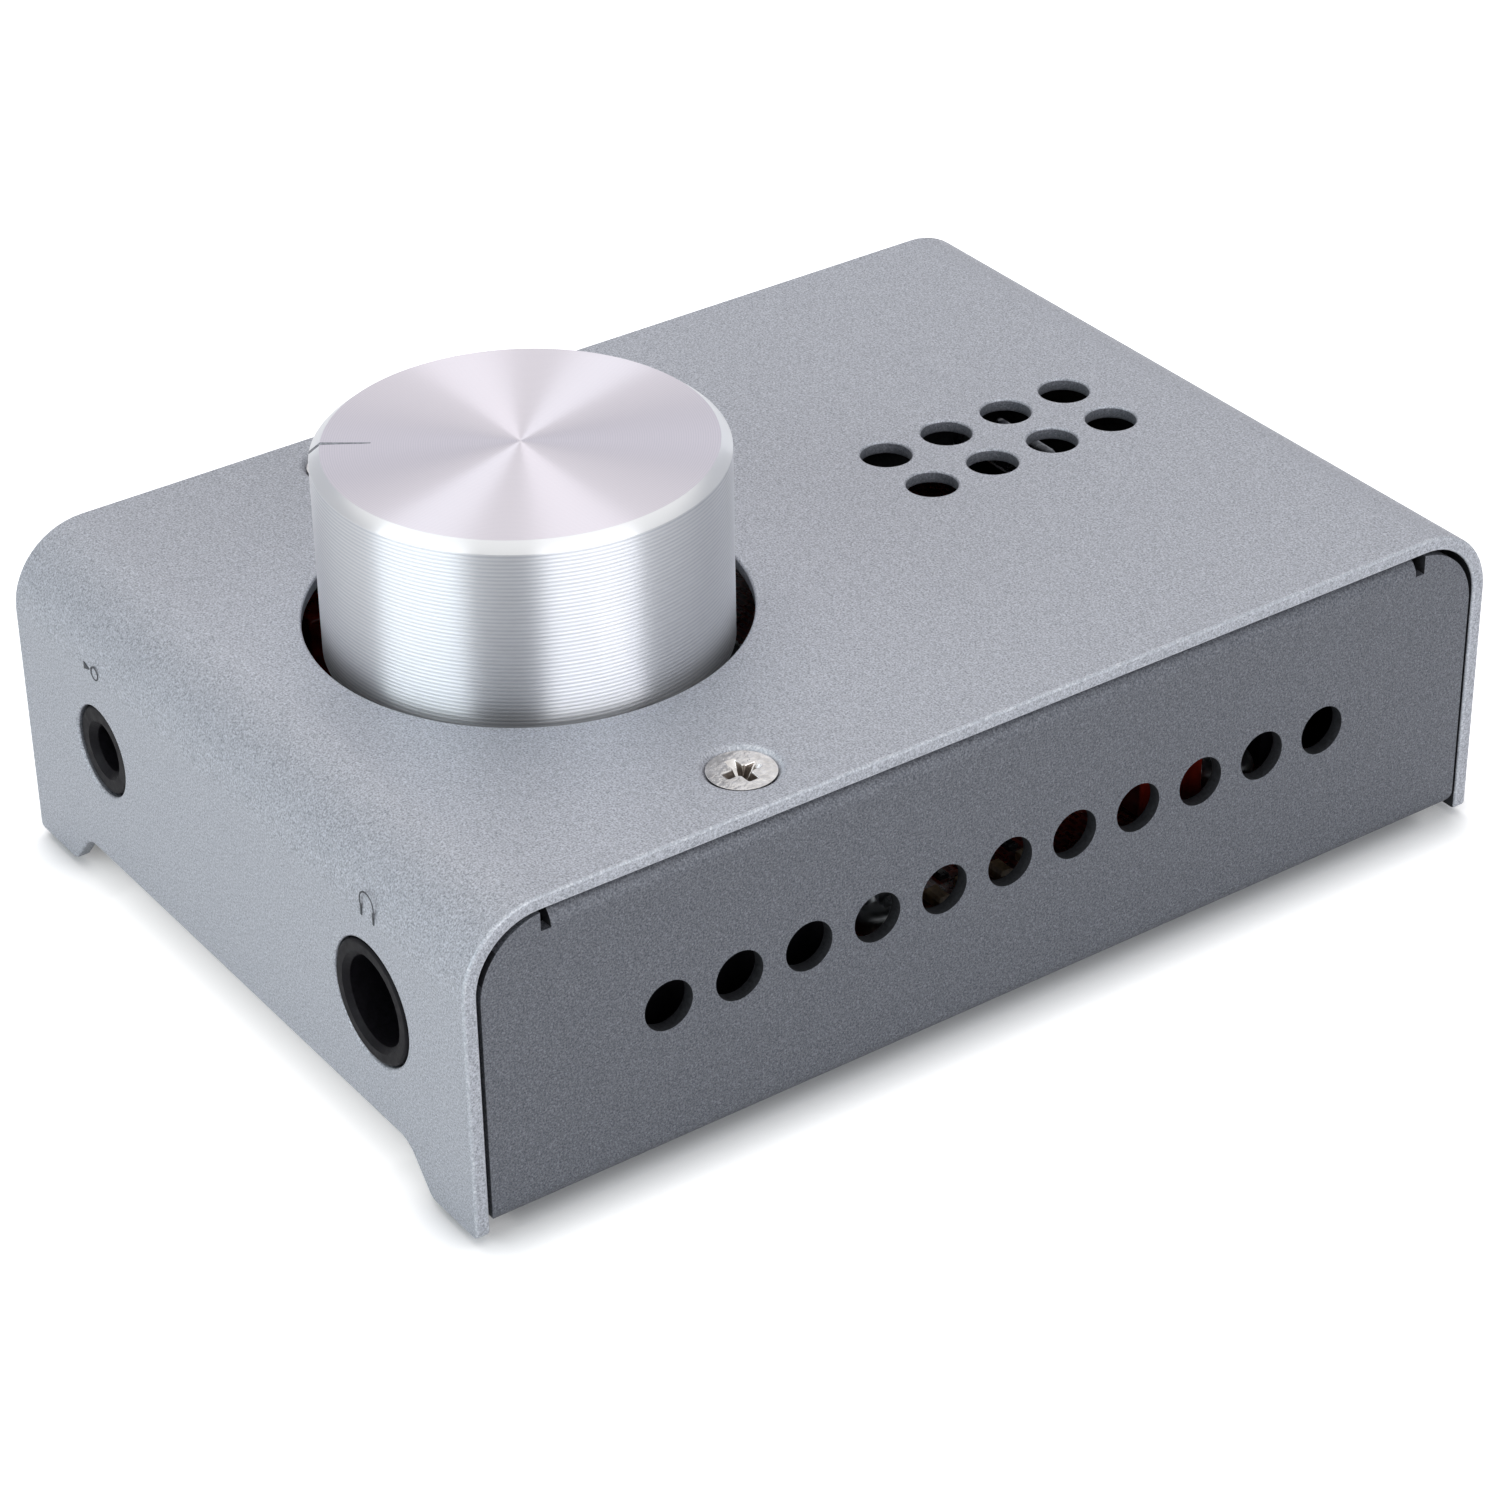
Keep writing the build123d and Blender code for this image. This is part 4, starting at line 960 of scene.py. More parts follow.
def outline_tools(z, radius):
    """Blocks that cut two corners of the panels, seen from the side, to a radius.

    Each stands off by a hair, so that its arc crosses the faces and doesn't just touch.
    """
    tools = []
    reach = radius - 0.002 * MM
    inwards = 1 if z == CHASSIS_LOW.z else -1
    for end in (-1, 1):
        corner_y = end * CHASSIS_HIGH.y
        centre_y = corner_y - end * reach
        centre_z = z + inwards * reach
        tool = new_box(
            "corner_tool", (2 * CHASSIS_LOW.x, centre_y, centre_z),
            (2 * CHASSIS_HIGH.x, corner_y + end * CLEAR, z - inwards * CLEAR),
        )
        carve(tool, new_rod(
            "corner_rod", (3 * CHASSIS_LOW.x, centre_y, centre_z),
            (3 * CHASSIS_HIGH.x, centre_y, centre_z), radius, sides=ROUND_SIDES,
        ))
        tools.append(tool)
    return tools


def plate_tool(chassis, side):
    """A block that ends the floor plate short of the panels' ends and inside their walls."""
    x = CHASSIS_HIGH.x - chassis.sheet - 0.15 * MM
    return new_box(
        "plate_tool",
        (-x, side * (CHASSIS_HIGH.y - chassis.plate_inset), CHASSIS_LOW.z - CLEAR),
        (x, side * (CHASSIS_HIGH.y + CLEAR), CHASSIS_LOW.z + CLEAR + DEEP),
    )


def side_vent_tools(chassis):
    """Rods through both side panels."""
    first = chassis.vent_offset - (chassis.vent_count - 1) / 2 * chassis.vent_pitch
    z = CHASSIS_LOW.z + chassis.vent_rise
    return [
        new_rod(
            "vent_tool", (2 * CHASSIS_LOW.x, first + i * chassis.vent_pitch, z),
            (2 * CHASSIS_HIGH.x, first + i * chassis.vent_pitch, z), chassis.vent_radius,
        )
        for i in range(chassis.vent_count)
    ]


def shank_tools(chassis):
    """Rods through the floor plate for the shanks of the board's five standoffs."""
    half_width = chassis.standoff_radius
    x = (STANDOFFS_HIGH.x - STANDOFFS_LOW.x) / 2 - half_width / math.cos(math.pi / 6)
    front = STANDOFFS_LOW.y + half_width
    rear = STANDOFFS_HIGH.y - half_width
    middle_row = rear - chassis.standoff_step
    places = ((0, front), (x, middle_row), (-x, middle_row), (x, rear), (-x, rear))
    return [upright_rod("shank_tool", place, 0, DEEP, chassis.shank_radius) for place in places]


def chassis_slot(centre, normal, chassis):
    """The coat outside, and near-black painted shade in the holes and inside."""
    coat, shaded_inside = range(2)
    to_side = CHASSIS_HIGH.x - abs(centre.x)
    to_end = CHASSIS_HIGH.y - abs(centre.y)
    to_top = CHASSIS_HIGH.z - centre.z
    to_foot = centre.z - CHASSIS_LOW.z
    skin = chassis.edge_break * SKIN_SHARE
    bend = chassis.bend + skin
    outward = normal.x * centre.x > 0 or abs(normal.z) > 0.3
    on_bend = to_side < bend and min(to_top, to_foot) < bend and outward
    return coat if on_bend or min(to_side, to_end, to_top, to_foot) < skin else shaded_inside


class AMPLIFIER_OT_chassis(Operator):
    """Folds the bottom chassis from one sheet and punches its vents"""

    bl_idname = "amplifier.chassis"
    bl_label = "Bottom Chassis"

    def execute(self, context):
        chassis = context.scene.amplifier.chassis
        end = CHASSIS_HIGH.y - chassis.flange_inset
        piece = new_box("folded_chassis", CHASSIS_LOW, CHASSIS_HIGH)
        round_edges(piece, chassis.bend, BEND_STEPS, edges_along(1, CHASSIS_LOW.z))
        delete_faces(piece, lambda face: abs(face.normal.y) > FLAT or face.normal.z > FLAT)
        apply_modifier(piece, "SOLIDIFY", thickness=chassis.sheet, offset=-1)
        add_flanges(piece, chassis, end)
        carve(piece, *relief_tools(chassis, end))
        merge_flat(piece, 0.5)
        for inset in (0, chassis.sheet):
            along = edges_along(1, CHASSIS_HIGH.z - inset)
            round_edges(
                piece, chassis.bend - inset, 10,
                lambda edge: along(edge)
                and near(abs(middle(edge).x), CHASSIS_HIGH.x - inset)
                and abs(middle(edge).y) < end,
            )
        carve(piece, *outline_tools(CHASSIS_HIGH.z, chassis.top_corner))
        carve(piece, *outline_tools(CHASSIS_LOW.z, chassis.foot_corner))
        for side in (-1, 1):
            carve(piece, plate_tool(chassis, side))
        carve(piece, *side_vent_tools(chassis))
        carve(piece, *shank_tools(chassis))
        break_edges(piece, chassis.edge_break)
        # The second finish is painted shade inside the chassis and in its holes.
        finish(
            piece, "case", ["bottom_chassis"], "grey_powder_coat",
            powder_coat("Grey powder coat", "grey", 0.25, 0.1), plain("Phosphated steel"),
        )
        spread(piece, lambda centre, normal: chassis_slot(centre, normal, chassis))
        return {"FINISHED"}


# ---------------------------------------------------------------- knob
def marker_tool(knob):
    """A wedge that deepens and widens from the marker's start to the rim."""
    tip = (knob.marker_start, 0, knob.marker_depth)
    half = knob.marker_width / 2
    tool = new_box("marker_tool", (tip[0], -half, 0), (KNOB_RADIUS + CLEAR, half, tip[2]))
    bottom_width = 0.4
    tip_width = 0.3
    tip_depth = 0.05
    resize_faces(tool, facing(2, -1), (1, bottom_width, 1))
    resize_faces(tool, facing(0, -1), (1, tip_width, tip_depth), center_override=tip)
    extrude_faces(tool, facing(2, 1), (0, 0, CLEAR))
    tool.matrix_world = Matrix.Translation(
        (KNOB_CENTRE.x, KNOB_CENTRE.y, KNOB_HIGH.z - knob.marker_depth)
    ) @ Matrix.Rotation(knob.marker_bearing, 4, "Z")
    return settle(tool)


def grub_hole_tool(knob):
    """A rod from the shaft out through the side of the knob."""
    reach = 2 * KNOB_RADIUS
    x, y, _ = KNOB_CENTRE
    z = COVER_HIGH.z + knob.screw_rise
    end = (
        x + reach * math.cos(knob.screw_bearing), y + reach * math.sin(knob.screw_bearing), z
    )
    return new_rod("grub_tool", (x, y, z), end, knob.screw_radius)


def ring_at(height):
    """A test for the flat faces at a height that are centred on the knob's axis."""
    def test(face):
        centre = face.calc_center_median()
        on_axis = abs(centre.x - KNOB_CENTRE.x) + abs(centre.y - KNOB_CENTRE.y) < 0.01 * MM
        return on_axis and near(centre.z, height) and len(face.verts) > 4

    return test


def hollow_underside(piece, knob):
    """Sinks the ring-shaped hollow and the shaft hole into the underside."""
    inner = knob.recess_inner
    outer = knob.recess_outer
    underside = ring_at(KNOB_LOW.z)
    foot = Vector((KNOB_CENTRE.x, KNOB_CENTRE.y, KNOB_LOW.z))

    def in_recess(face):
        """True for the quads between the boss and the rim of the underside."""
        offset = face.calc_center_median() - foot
        return near(offset.z, 0) and inner < offset.length < outer

    inset_face(piece, underside, KNOB_RADIUS - outer)
    inset_face(piece, underside, outer - inner)
    extrude_faces(piece, in_recess, (0, 0, knob.recess_depth))
    inset_face(piece, underside, inner - knob.bore_radius)
    extrude_faces(piece, underside, (0, 0, knob.bore_depth))


def knob_slot(centre, normal, knob):
    """The turned side, the faced top, the chamfer or the marker's groove."""
    turned, faced, chamfered, milled = range(4)
    below_top = KNOB_HIGH.z - centre.z
    if below_top < 0.01 * MM and normal.z > 0.99:
        return faced
    offset = centre - KNOB_CENTRE
    along = offset.x * math.cos(knob.marker_bearing) + offset.y * math.sin(knob.marker_bearing)
    across = offset.y * math.cos(knob.marker_bearing) - offset.x * math.sin(knob.marker_bearing)
    beside_marker = along > knob.marker_start and abs(across) < knob.marker_width / 2
    # The marker's groove gets a dark finish: painted shade.
    if below_top < knob.marker_depth and beside_marker:
        return milled
    return chamfered if below_top < knob.chamfer_height + 0.05 * MM else turned


class AMPLIFIER_OT_knob(Operator):
    """Turns the volume knob and cuts its marker and its grub screw hole"""

    bl_idname = "amplifier.knob"
    bl_label = "Volume Knob"

    def execute(self, context):
        settings = context.scene.amplifier
        knob = settings.knob
        shoulder = KNOB_HIGH.z - knob.chamfer_height
        piece = upright_rod(
            "turned_knob", KNOB_CENTRE, KNOB_LOW.z, shoulder, KNOB_RADIUS, sides=knob.sides
        )
        extrude_faces(
            piece, ring_at(shoulder), (0, 0, knob.chamfer_height),
            (KNOB_RADIUS - knob.chamfer_width) / KNOB_RADIUS,
            (KNOB_CENTRE.x, KNOB_CENTRE.y, KNOB_HIGH.z),
        )
        hollow_underside(piece, knob)
        carve(piece, grub_hole_tool(knob))
        carve(piece, marker_tool(knob))
        break_edges(piece, 0.05 * MM, steps=2)
        codes = settings.finish
        # The knob's turned and faced finishes darken into their grooves, and the marker's finish
        # darkens its groove, as painted shade.
        finish(
            piece, "knob", ["volume_knob"], "turned_aluminium",
            ringed_metal(
                "Turned aluminium", codes.side_groove_shade, codes.side_metal, knob.ring_pitch,
                0.0065 * MM, 0.4,
            ),
            ringed_metal(
                "Faced aluminium", codes.face_groove_shade, codes.face_metal, knob.face_pitch,
                0.0003 * MM, 0.45, by_radius=True,
            ),
            ringed_metal(
                "Chamfered aluminium", codes.side_metal, codes.side_metal, 0.1 * MM,
                0.0001 * MM, 0.28,
            ),
            plain("Milled aluminium"),
        )
        spread(piece, lambda centre, normal: knob_slot(centre, normal, knob))
        return {"FINISHED"}


# ---------------------------------------------------------------- screws and feet
def cross_tool(place):
    """The driver recess of a cover screw: a cross that narrows as it goes down."""
    depth = 1.1 * MM
    long_half = 1.45 * MM
    short_half = 0.4 * MM
    narrowing = 0.35
    arms = []
    for x, y in ((long_half, short_half), (short_half, long_half)):
        arm = new_box("cross_tool", (-x, -y, -depth), (x, y, 0))
        resize_faces(arm, facing(2, -1), (narrowing, narrowing, 1))
        extrude_faces(arm, facing(2, 1), (0, 0, CLEAR))
        arms.append(arm)
    cross, other = arms
    cone = upright_rod(
        "cross_cone", (0, 0), -depth, 0.5 * MM, 0.15 * MM, end_radius=0.95 * MM, sides=32
    )
    carve(cross, other, operation="UNION")
    carve(cross, cone, operation="UNION")
    return move_piece(cross, place)


def screw_slot(centre, place):
    """Bright nickel outside, and nickel darkened as painted shade inside the driver recess."""
    bright, thin = range(2)
    offset = centre - place
    inside = math.hypot(offset.x, offset.y) < 1.5 * MM + offset.z
    return thin if offset.z < -0.09 * MM and inside else bright


class AMPLIFIER_OT_cover_screws(Operator):
    """Makes one flat-head screw and copies it to the other side"""

    bl_idname = "amplifier.cover_screws"
    bl_label = "Cover Screws"

    def execute(self, context):
        first, second = screw_places()
        head = (SCREWS_HIGH.y - SCREWS_LOW.y) / 2
        shank = 1.4 * MM
        cone_height = (head - shank) / math.tan(context.scene.amplifier.cover.countersink_angle)
        piece = upright_rod(
            "countersunk_screw_right", first, SCREWS_LOW.z, first.z - cone_height, shank
        )
        extrude_faces(piece, facing(2, 1), (0, 0, cone_height), head / shank, tuple(first))
        carve(piece, cross_tool(first))
        break_edges(piece, 0.08 * MM)
        other = move_piece(copy_of(piece, "countersunk_screw_left"), second - first)
        for screw, place in ((piece, first), (other, second)):
            # The second finish darkens the driver recess as painted shade.
            finish(
                screw, "case", ["cover_screws"], "nickel_screw",
                plain("Nickel plated steel"), plain("Thin nickel plate"),
            )
            spread(screw, lambda centre, normal: screw_slot(centre, place))
        return {"FINISHED"}


class AMPLIFIER_OT_feet(Operator):
    """Moulds one rubber foot and copies it to the four corners"""

    bl_idname = "amplifier.feet"
    bl_label = "Rubber Feet"

    def execute(self, context):
        radius = 4.5 * MM
        rim = 0.9 * MM
        groove = 0.4 * MM
        hollow = -0.2 * MM
        x = FEET_HIGH.x - radius
        y = FEET_HIGH.y - radius
        piece = upright_rod("rubber_foot_1", (x, y), FEET_LOW.z, FEET_HIGH.z, radius)
        below = facing(2, -1)
        inset_face(piece, below, rim)
        inset_face(piece, lambda face: below(face) and len(face.verts) > 4, groove, hollow)
        break_edges(piece, 0.2 * MM)
        feet = [piece]
        for i, (side, way) in enumerate(((-1, 1), (-1, -1), (1, -1))):
            offset = (side * x - x, way * y - y, 0)
            feet.append(move_piece(copy_of(piece, f"rubber_foot_{i + 2}"), offset))
        for foot in feet:
            finish(foot, "case", ["rubber_feet"], "foot_rubber", plain("Moulded rubber"))
        return {"FINISHED"}


# ---------------------------------------------------------------- jacks
def new_jack(name, nose_radius, mouth, settings):
    """Moulds a front jack where its CAD node is: a body, a nose and a bore with a lead-in."""
    jack = settings.jacks
    low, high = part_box(f"{name}_jack_body")
    mount = MOUNTS[f"{name}_socket"]
    x, _, z = mount["pos_m"]
    bore = mount["dims"]["r_mm"] * MM
    face = settings.cover.sheet + jack.face_gap - COVER_HIGH.y
    lead = 0.5 * MM
    body = new_box(f"{name}_jack", (low.x, face, low.z), high)
    round_edges(body, jack.roof_chamfer, 1, edges_along(1, high.z))

    def along_bore(kind, start, end, radius, end_radius=None):
        """A rod or cone on the jack's axis."""
        return new_rod(kind, (x, start, z), (x, end, z), radius, end_radius, ROUND_SIDES)

    nose = along_bore("nose", face + CLEAR, low.y, nose_radius)
    round_edges(
        nose, jack.nose_round, 4,
        lambda edge: near(middle(edge).y, low.y) and not runs_along(edge, 1),
    )
    carve(body, nose, operation="UNION")
    carve(body, along_bore("bore", low.y - CLEAR, high.y + CLEAR, bore))
    carve(body, along_bore("mouth", low.y + mouth, low.y - lead, bore, bore + mouth + lead))
    break_edges(body, 0.08 * MM, steps=2)
    return body


class AMPLIFIER_OT_jacks(Operator):
    """Moulds the headphone jack and one small jack, and copies the small one to the rear"""

    bl_idname = "amplifier.jacks"
    bl_label = "Jacks"

    def execute(self, context):
        settings = context.scene.amplifier
        jack = settings.jacks
        large = new_jack("headphone", jack.large_nose, jack.large_mouth, settings)
        small = new_jack("microphone", jack.small_nose, jack.small_mouth, settings)
        jacks = {"headphone": large, "microphone": small}
        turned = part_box("microphone_jack_body")[1]
        for name in REAR_SMALL_JACKS:
            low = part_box(f"{name}_jack_body")[0]
            offset = (low.x + turned.x, low.y + turned.y, 0)
            jacks[name] = move_piece(copy_of(small, f"{name}_jack"), offset, quarter_turns=2)
        for name, piece in jacks.items():
            finish(piece, "case", [f"{name}_jack_body"], "jack_plastic", plain("Moulded nylon"))
        return {"FINISHED"}


# ---------------------------------------------------------------- pictograms
def printed(name, x_limits, z_limits, thickness):
    """A block on the cover's front that stands out of it and into it by a thickness."""
    front = COVER_LOW.y
    return new_box(
        name, (x_limits[0], front - thickness, z_limits[0]),
        (x_limits[1], front + thickness, z_limits[1]),
    )


def new_ring(name, x, z, outer, icons):
    """A printed ring on the cover's front."""
    front = COVER_LOW.y
    ring = new_rod(name, (x, front + icons.ink, z), (x, front - icons.ink, z), outer)
    carve(ring, new_rod(
        "ring_tool", (x, front + CLEAR, z), (x, front - CLEAR, z), outer - icons.line
    ))
    return ring


def headphone_icon(icons):
    """A head band with an ear pad at each end, over the headphone jack."""
    axis_x, _, axis_z = MOUNTS["headphone_socket"]["pos_m"]
    x = axis_x + icons.band_shift
    z = axis_z + icons.band_rise
    outer = icons.band_radius
    icon = new_ring("headphone_icon", x, z, outer, icons)
    carve(icon, printed(
        "lower_half", (x - 2 * outer, x + 2 * outer), (z - 2 * outer, z), CLEAR
    ))
    foot = z - icons.leg
    for side in (-1, 1):
        edge = x + side * outer
        leg = printed(
            "leg", (edge, edge - side * icons.line), (foot - 0.05 * MM, z + 0.02 * MM),
            icons.ink,
        )
        carve(icon, leg, operation="UNION")
        pad = printed(
            "pad", (edge - side * icons.line / 2, edge - side * icons.pad_width),
            (foot - icons.pad_height, foot), icons.ink,
        )
        round_edges(pad, 0.06 * MM, 3, edges_along(1))
        carve(icon, pad, operation="UNION")
    return icon


def microphone_icon(icons):
    """A ring for the head and a wedge for the handle, over the microphone jack."""
    axis_x, _, axis_z = MOUNTS["microphone_socket"]["pos_m"]
    x = axis_x + icons.head_shift
    z = axis_z + icons.head_rise
    icon = new_ring("microphone_icon", x, z, icons.head_radius, icons)
    tip = x - icons.head_radius - icons.horn_gap
    half = icons.horn_width / 2
    wedge = printed("wedge", (tip - icons.horn_length, tip), (z - half, z + half), icons.ink)
    resize_faces(wedge, facing(0, 1), (1, 1, 0.12))
    round_edges(wedge, 0.04 * MM, 3, edges_along(1))
    return join([icon, wedge])


class AMPLIFIER_OT_icons(Operator):
    """Prints the headphone and microphone pictograms on the cover's front"""

    bl_idname = "amplifier.icons"
    bl_label = "Pictograms"

    def execute(self, context):
        icons = context.scene.amplifier.icons
        for icon in (headphone_icon(icons), microphone_icon(icons)):
            finish(icon, "case", [], "silver_powder_coat", plain("Screen printed ink"))
        return {"FINISHED"}


# ---------------------------------------------------------------- hardware and board
class AMPLIFIER_OT_volume_control(Operator):
    """Finishes the potentiometer under the knob, its shaft and the grub screw"""

    bl_idname = "amplifier.volume_control"
    bl_label = "Volume Control"

    def execute(self, context):
        for node, name, edge_break, slot, finish_name, body in (
            ("knob_set_screw", "grub_screw", 0.05, "black_oxide_steel", "Black oxide steel", "knob"),
            ("pot_shaft", "volume_shaft", 0.15, "shaft_aluminium", "Drawn aluminium", "knob"),
            ("pot_bushing", "threaded_bushing", 0.06, "bushing_brass", "Turned brass", "case"),
            ("pot_housing", "control_can", 0.12, "socket_steel", "Tin plated steel", "case"),
        ):
            refined_copy(node, name, edge_break, slot, finish_name, body)
        set_finish("Moulded acetal", "pot_rotor")
        set_finish("Phosphor bronze", "pot_wiper")
        set_finish("Phenolic laminate", "pot_track")
        set_finish("Tinned copper", "pot_terminals")
        return {"FINISHED"}


class AMPLIFIER_OT_hardware(Operator):
    """Finishes the clinch nuts, the standoffs and the board screws"""

    bl_idname = "amplifier.hardware"
    bl_label = "Nuts, Standoffs and Screws"

    def execute(self, context):
        for node, name, edge_break in (
            ("clinch_nuts", "clinch_nuts_turned", 0.08),
            ("board_standoffs", "hexagon_standoffs", 0.08),
            ("board_screws", "pan_head_screws", 0.06),
        ):
            refined_copy(node, name, edge_break, "zinc_steel", "Zinc plated steel")
        return {"FINISHED"}


class AMPLIFIER_OT_usb_sockets(Operator):
    """Finishes the two micro USB sockets"""

    bl_idname = "amplifier.usb_sockets"
    bl_label = "Micro USB Sockets"

    def execute(self, context):
        for name in ("data_usb", "power_usb"):
            refined_copy(f"{name}_shell", f"{name}_can", 0.06, "socket_steel", "Tin plated steel")
            refined_copy(
                f"{name}_insulator", f"{name}_tongue", 0.05, "jack_plastic", "Moulded nylon"
            )
            set_finish("Phosphor bronze", f"{name}_contacts")
        return {"FINISHED"}


class AMPLIFIER_OT_circuit_board(Operator):
    """Finishes the board and what is soldered to it"""

    bl_idname = "amplifier.circuit_board"
    bl_label = "Circuit Board"

    def execute(self, context):
        code = context.scene.amplifier.finish.board
        paint(frame["nodes"]["circuit_board"], circuit_laminate(code))
        for jack in ("headphone", "microphone", *REAR_SMALL_JACKS):
            set_finish("Phosphor bronze", f"{jack}_jack_springs")
        for node, name in (
            ("amplifier_chips", "amplifier_packages"), ("dac_chip", "converter_package"),
            ("usb_controller_chip", "controller_package"),
            ("microphone_chip", "microphone_package"), ("voltage_regulators", "regulator_packages"),
        ):
            refined_copy(node, name, 0.12, "chip_epoxy", "Moulded epoxy")
        for node, name, edge_break, slot, finish_name in (
            ("capacitor_cans", "drawn_cans", 0.3, "can_aluminium", "Drawn aluminium"),
            ("capacitor_sleeves", "shrunk_sleeves", 0.08, "sleeve_plastic", "Shrink sleeve"),
            ("film_capacitors", "film_boxes", 0.5, "film_box_red", "Red lacquer"),
            ("power_inductors", "shielded_inductors", 0.6, "ferrite_grey", "Pressed ferrite"),
            ("clock_crystals", "crystal_cans", 0.3, "crystal_can", "Tin plated steel"),
        ):
            refined_copy(node, name, edge_break, slot, finish_name)
        set_finish("Tinned copper", "chip_pins", "capacitor_leads")
        set_finish("Fired ceramic", "ceramic_capacitors")
        set_finish("Resistor glaze", "chip_resistors")
        return {"FINISHED"}


# ---------------------------------------------------------------- stage
def towards(azimuth, elevation):
    """The direction of a bearing, from the front towards the right, and a height."""
    return Vector((
        math.sin(azimuth) * math.cos(elevation),
        -math.cos(azimuth) * math.cos(elevation),
        math.sin(elevation),
    ))


def seen_rays(tree, path):
    """One where a ray comes from the camera, a mirror or glass, and zero elsewhere."""
    direct = calculate(
        tree, "MAXIMUM", path.outputs["Is Camera Ray"], path.outputs["Is Glossy Ray"]
    )
    return calculate(tree, "MAXIMUM", direct, path.outputs["Is Transmission Ray"])


def glow(name, code, strength):
    """A plain light-giving card."""
    material = bpy.data.materials.new(name)
    material.use_nodes = True
    tree = material.node_tree
    tree.nodes.clear()
    light = add(tree, "Emission", {"Color": linear(code), "Strength": strength})
    add(tree, "OutputMaterial", {"Surface": light.outputs["Emission"]})
    return material


class AMPLIFIER_OT_stage(Operator):
    """Sets the floor, the lamps, the world and the camera"""

    bl_idname = "amplifier.stage"
    bl_label = "Stage"

    def execute(self, context):
        stage = context.scene.amplifier.stage
        self.add_floor(stage)
        self.add_room(stage)
        self.add_lamps()
        self.add_world(context.scene)
        self.add_camera(context.scene, stage)
        context.scene.view_settings.view_transform = "Standard"
        return {"FINISHED"}

    def add_floor(self, stage):
        """A white table that glows to clip to white away from the object, and whose glow fades near
        it: partly its real shadow, partly a painted contact shadow.
        """
        floor = added("floor", bpy.ops.mesh.primitive_plane_add, size=stage.floor_size)
        material, tree, shader = new_material("White table", {
            "Base Color": linear("DCDDDE"), "Roughness": 0.9, "Emission Color": (1, 1, 1, 1),
        })
        path = add(tree, "LightPath", {})
        mirrored = calculate(tree, "MULTIPLY", seen_rays(tree, path), 0.4)
        direct = calculate(tree, "MULTIPLY_ADD", path.outputs["Is Camera Ray"], 0.55, mirrored)
        # Near the object, ambient occlusion fades the glow: the dark there is partly its real shadow
        # and partly a painted contact shadow.
        open_sky = add(tree, "AmbientOcclusion", {"Distance": 4.5 * MM}, samples=8)
        contact_shadow_fade = calculate(tree, "POWER", open_sky.outputs["AO"], 2.0)
        wire(tree, shader, Emission_Strength=calculate(tree, "MULTIPLY", direct, contact_shadow_fade))
        paint(floor, material)

    def add_room(self, stage):
        """Grey walls round the set, which only show as reflections in bright metal."""
        # From and to in degrees, from the front towards the right, and how bright. The first
        # band that holds a place counts, and the last one fills what the others leave.
        bands = (
            (0, 28, 1.0), (28, 62, 0.04), (62, 120, 0.75), (175, 203, 0.56), (203, 267, 0.85),
            (267, 305, 0.56), (338, 360, 1.0), (0, 360, 0.5),
        )
        room = settle(added(
            "room", bpy.ops.mesh.primitive_cylinder_add, vertices=180, radius=stage.room_radius,
            depth=stage.room_height, end_fill_type="NOTHING",
            location=(0, 0, stage.room_height / 2),
        ))
        paint(room, *(glow(f"Wall {i + 1}", "F7F9FF", band[2]) for i, band in enumerate(bands)))

        def band_of(centre, _):
            """The first band that holds a wall panel."""
            azimuth = math.degrees(math.atan2(centre.x, -centre.y)) % 360
            return next(i for i, band in enumerate(bands) if band[0] <= azimuth < band[1])

        spread(room, band_of)
        for ray in ("camera", "diffuse", "transmission", "shadow"):
            setattr(room, f"visible_{ray}", False)

    def add_lamps(self):
        """Soft boxes at the front, at the right and overhead.

        The overhead one is split in two, and its stronger half lights without being mirrored.
        """
        # Azimuth, elevation, distance and size in metres, power in watts, tint, and mirrored.
        overhead = (250.0, 62.0, 0.9, (0.7, 0.7))
        lamps = {
            "front_box": (1.0, 20.0, 0.75, (0.62, 0.5), 2.25, "EAF5F8", True),
            "right_box": (91.0, 20.0, 0.75, (0.68, 0.5), 2.8, "FBFCFF", True),
            "top_box": (*overhead, 3.1, "FFF9FA", False),
            "top_sheen": (*overhead, 0.75, "FFF9FA", True),
        }
        for name, (azimuth, elevation, distance, size, power, tint, mirrored) in lamps.items():
            direction = towards(math.radians(azimuth), math.radians(elevation))
            lamp = added(
                name, bpy.ops.object.light_add, type="AREA", location=direction * distance,
                rotation=direction.to_track_quat("Z", "Y").to_euler(),
            )
            lamp.data.shape = "RECTANGLE"
            lamp.data.size, lamp.data.size_y = size
            lamp.data.energy = power
            lamp.data.color = linear(tint)[:3]
            lamp.visible_glossy = mirrored

    def add_world(self, scene):
        """Soft light from everywhere, with a white room behind whatever mirrors it."""
        world = bpy.data.worlds.new("Studio")
        scene.world = world
        world.use_nodes = True
        tree = world.node_tree
        tree.nodes.clear()
        seen = seen_rays(tree, add(tree, "LightPath", {}))
        fill = add(tree, "Background", {"Color": linear("F4F7FB"), "Strength": 0.2})
        white = add(tree, "Background", {"Color": (1, 1, 1, 1), "Strength": 1.0})
        mix = add(
            tree, "MixShader",
            {0: seen, 1: fill.outputs["Background"], 2: white.outputs["Background"]},
        )
        add(tree, "OutputWorld", {"Surface": mix.outputs["Shader"]})

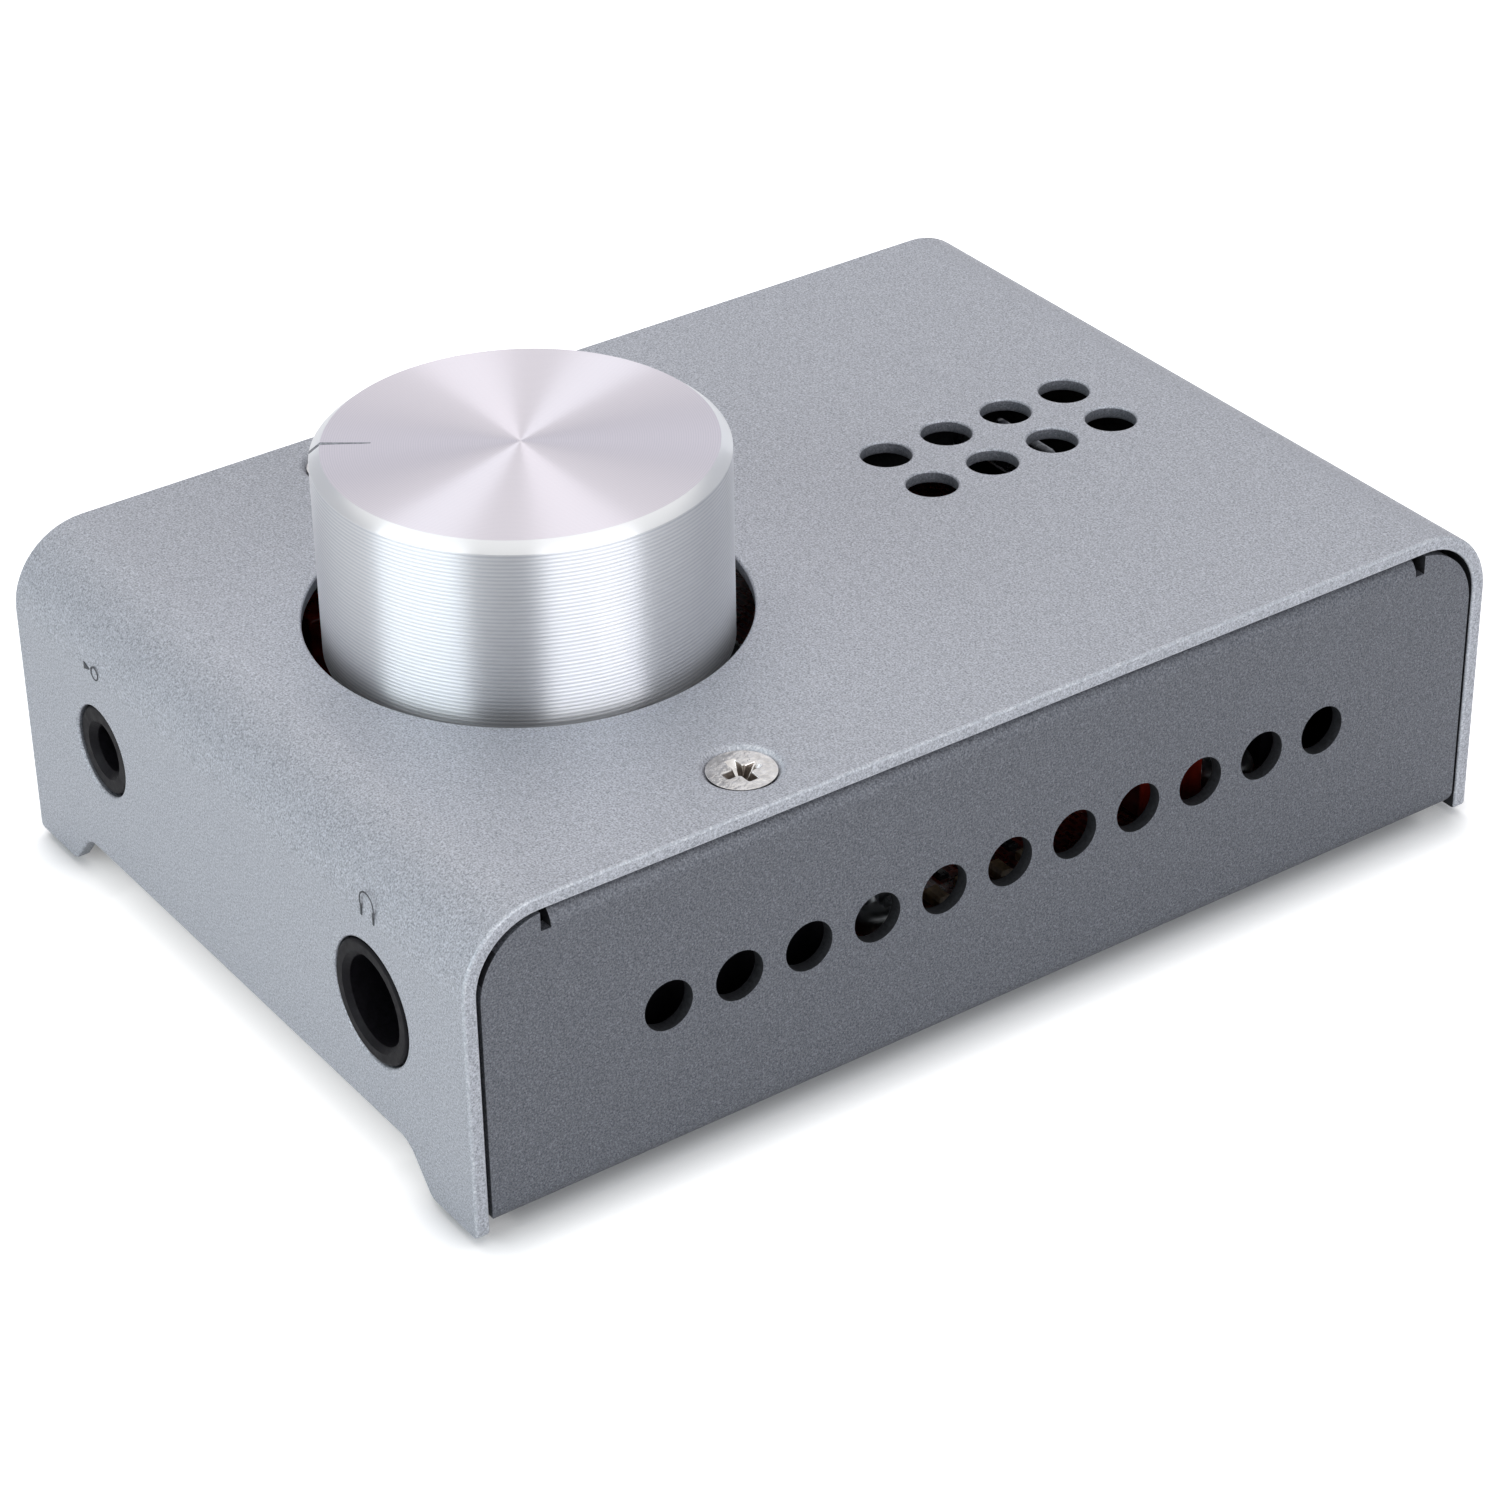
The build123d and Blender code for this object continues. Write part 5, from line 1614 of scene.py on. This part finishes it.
    def add_camera(self, scene, stage):
        """A long lens that looks down on the right front corner."""
        back = towards(stage.azimuth, stage.elevation)
        camera = added("Camera", bpy.ops.object.camera_add)
        level = back.to_track_quat("Z", "Y").to_matrix().to_4x4()
        camera.matrix_world = (
            Matrix.Translation(Vector(stage.target) + back * stage.distance)
            @ level @ Matrix.Rotation(stage.roll, 4, "Z")
        )
        camera.data.lens = stage.lens
        camera.data.sensor_width = 36.0
        camera.data.clip_start = 0.01
        scene.camera = camera


# ---------------------------------------------------------------- add-on
class AmplifierSettings(PropertyGroup):
    """All sizes and colours of the amplifier."""

    cover: PointerProperty(type=CoverSettings)
    chassis: PointerProperty(type=ChassisSettings)
    knob: PointerProperty(type=KnobSettings)
    jacks: PointerProperty(type=JackSettings)
    icons: PointerProperty(type=IconSettings)
    finish: PointerProperty(type=FinishSettings)
    stage: PointerProperty(type=StageSettings)


OPERATORS = (
    AMPLIFIER_OT_stage,
    AMPLIFIER_OT_cover,
    AMPLIFIER_OT_chassis,
    AMPLIFIER_OT_knob,
    AMPLIFIER_OT_cover_screws,
    AMPLIFIER_OT_feet,
    AMPLIFIER_OT_jacks,
    AMPLIFIER_OT_icons,
    AMPLIFIER_OT_volume_control,
    AMPLIFIER_OT_hardware,
    AMPLIFIER_OT_usb_sockets,
    AMPLIFIER_OT_circuit_board,
)


class AMPLIFIER_PT_panel(Panel):
    """Lists the operators in the sidebar"""

    bl_idname = "AMPLIFIER_PT_panel"
    bl_label = "Headphone Amplifier"
    bl_space_type = "VIEW_3D"
    bl_region_type = "UI"
    bl_category = "Amplifier"

    def draw(self, context):
        for operator in OPERATORS:
            self.layout.operator(operator.bl_idname)


CLASSES = (
    CoverSettings,
    ChassisSettings,
    KnobSettings,
    JackSettings,
    IconSettings,
    FinishSettings,
    StageSettings,
    AmplifierSettings,
    *OPERATORS,
    AMPLIFIER_PT_panel,
)


def register():
    for one in CLASSES:
        bpy.utils.register_class(one)
    bpy.types.Scene.amplifier = PointerProperty(type=AmplifierSettings)


def unregister():
    del bpy.types.Scene.amplifier
    for one in reversed(CLASSES):
        bpy.utils.unregister_class(one)


def main():
    """Builds the pieces in order."""
    register()
    for operator in OPERATORS:
        group, name = operator.bl_idname.split(".")
        getattr(getattr(bpy.ops, group), name)()


if __name__ == "__main__":
    main()
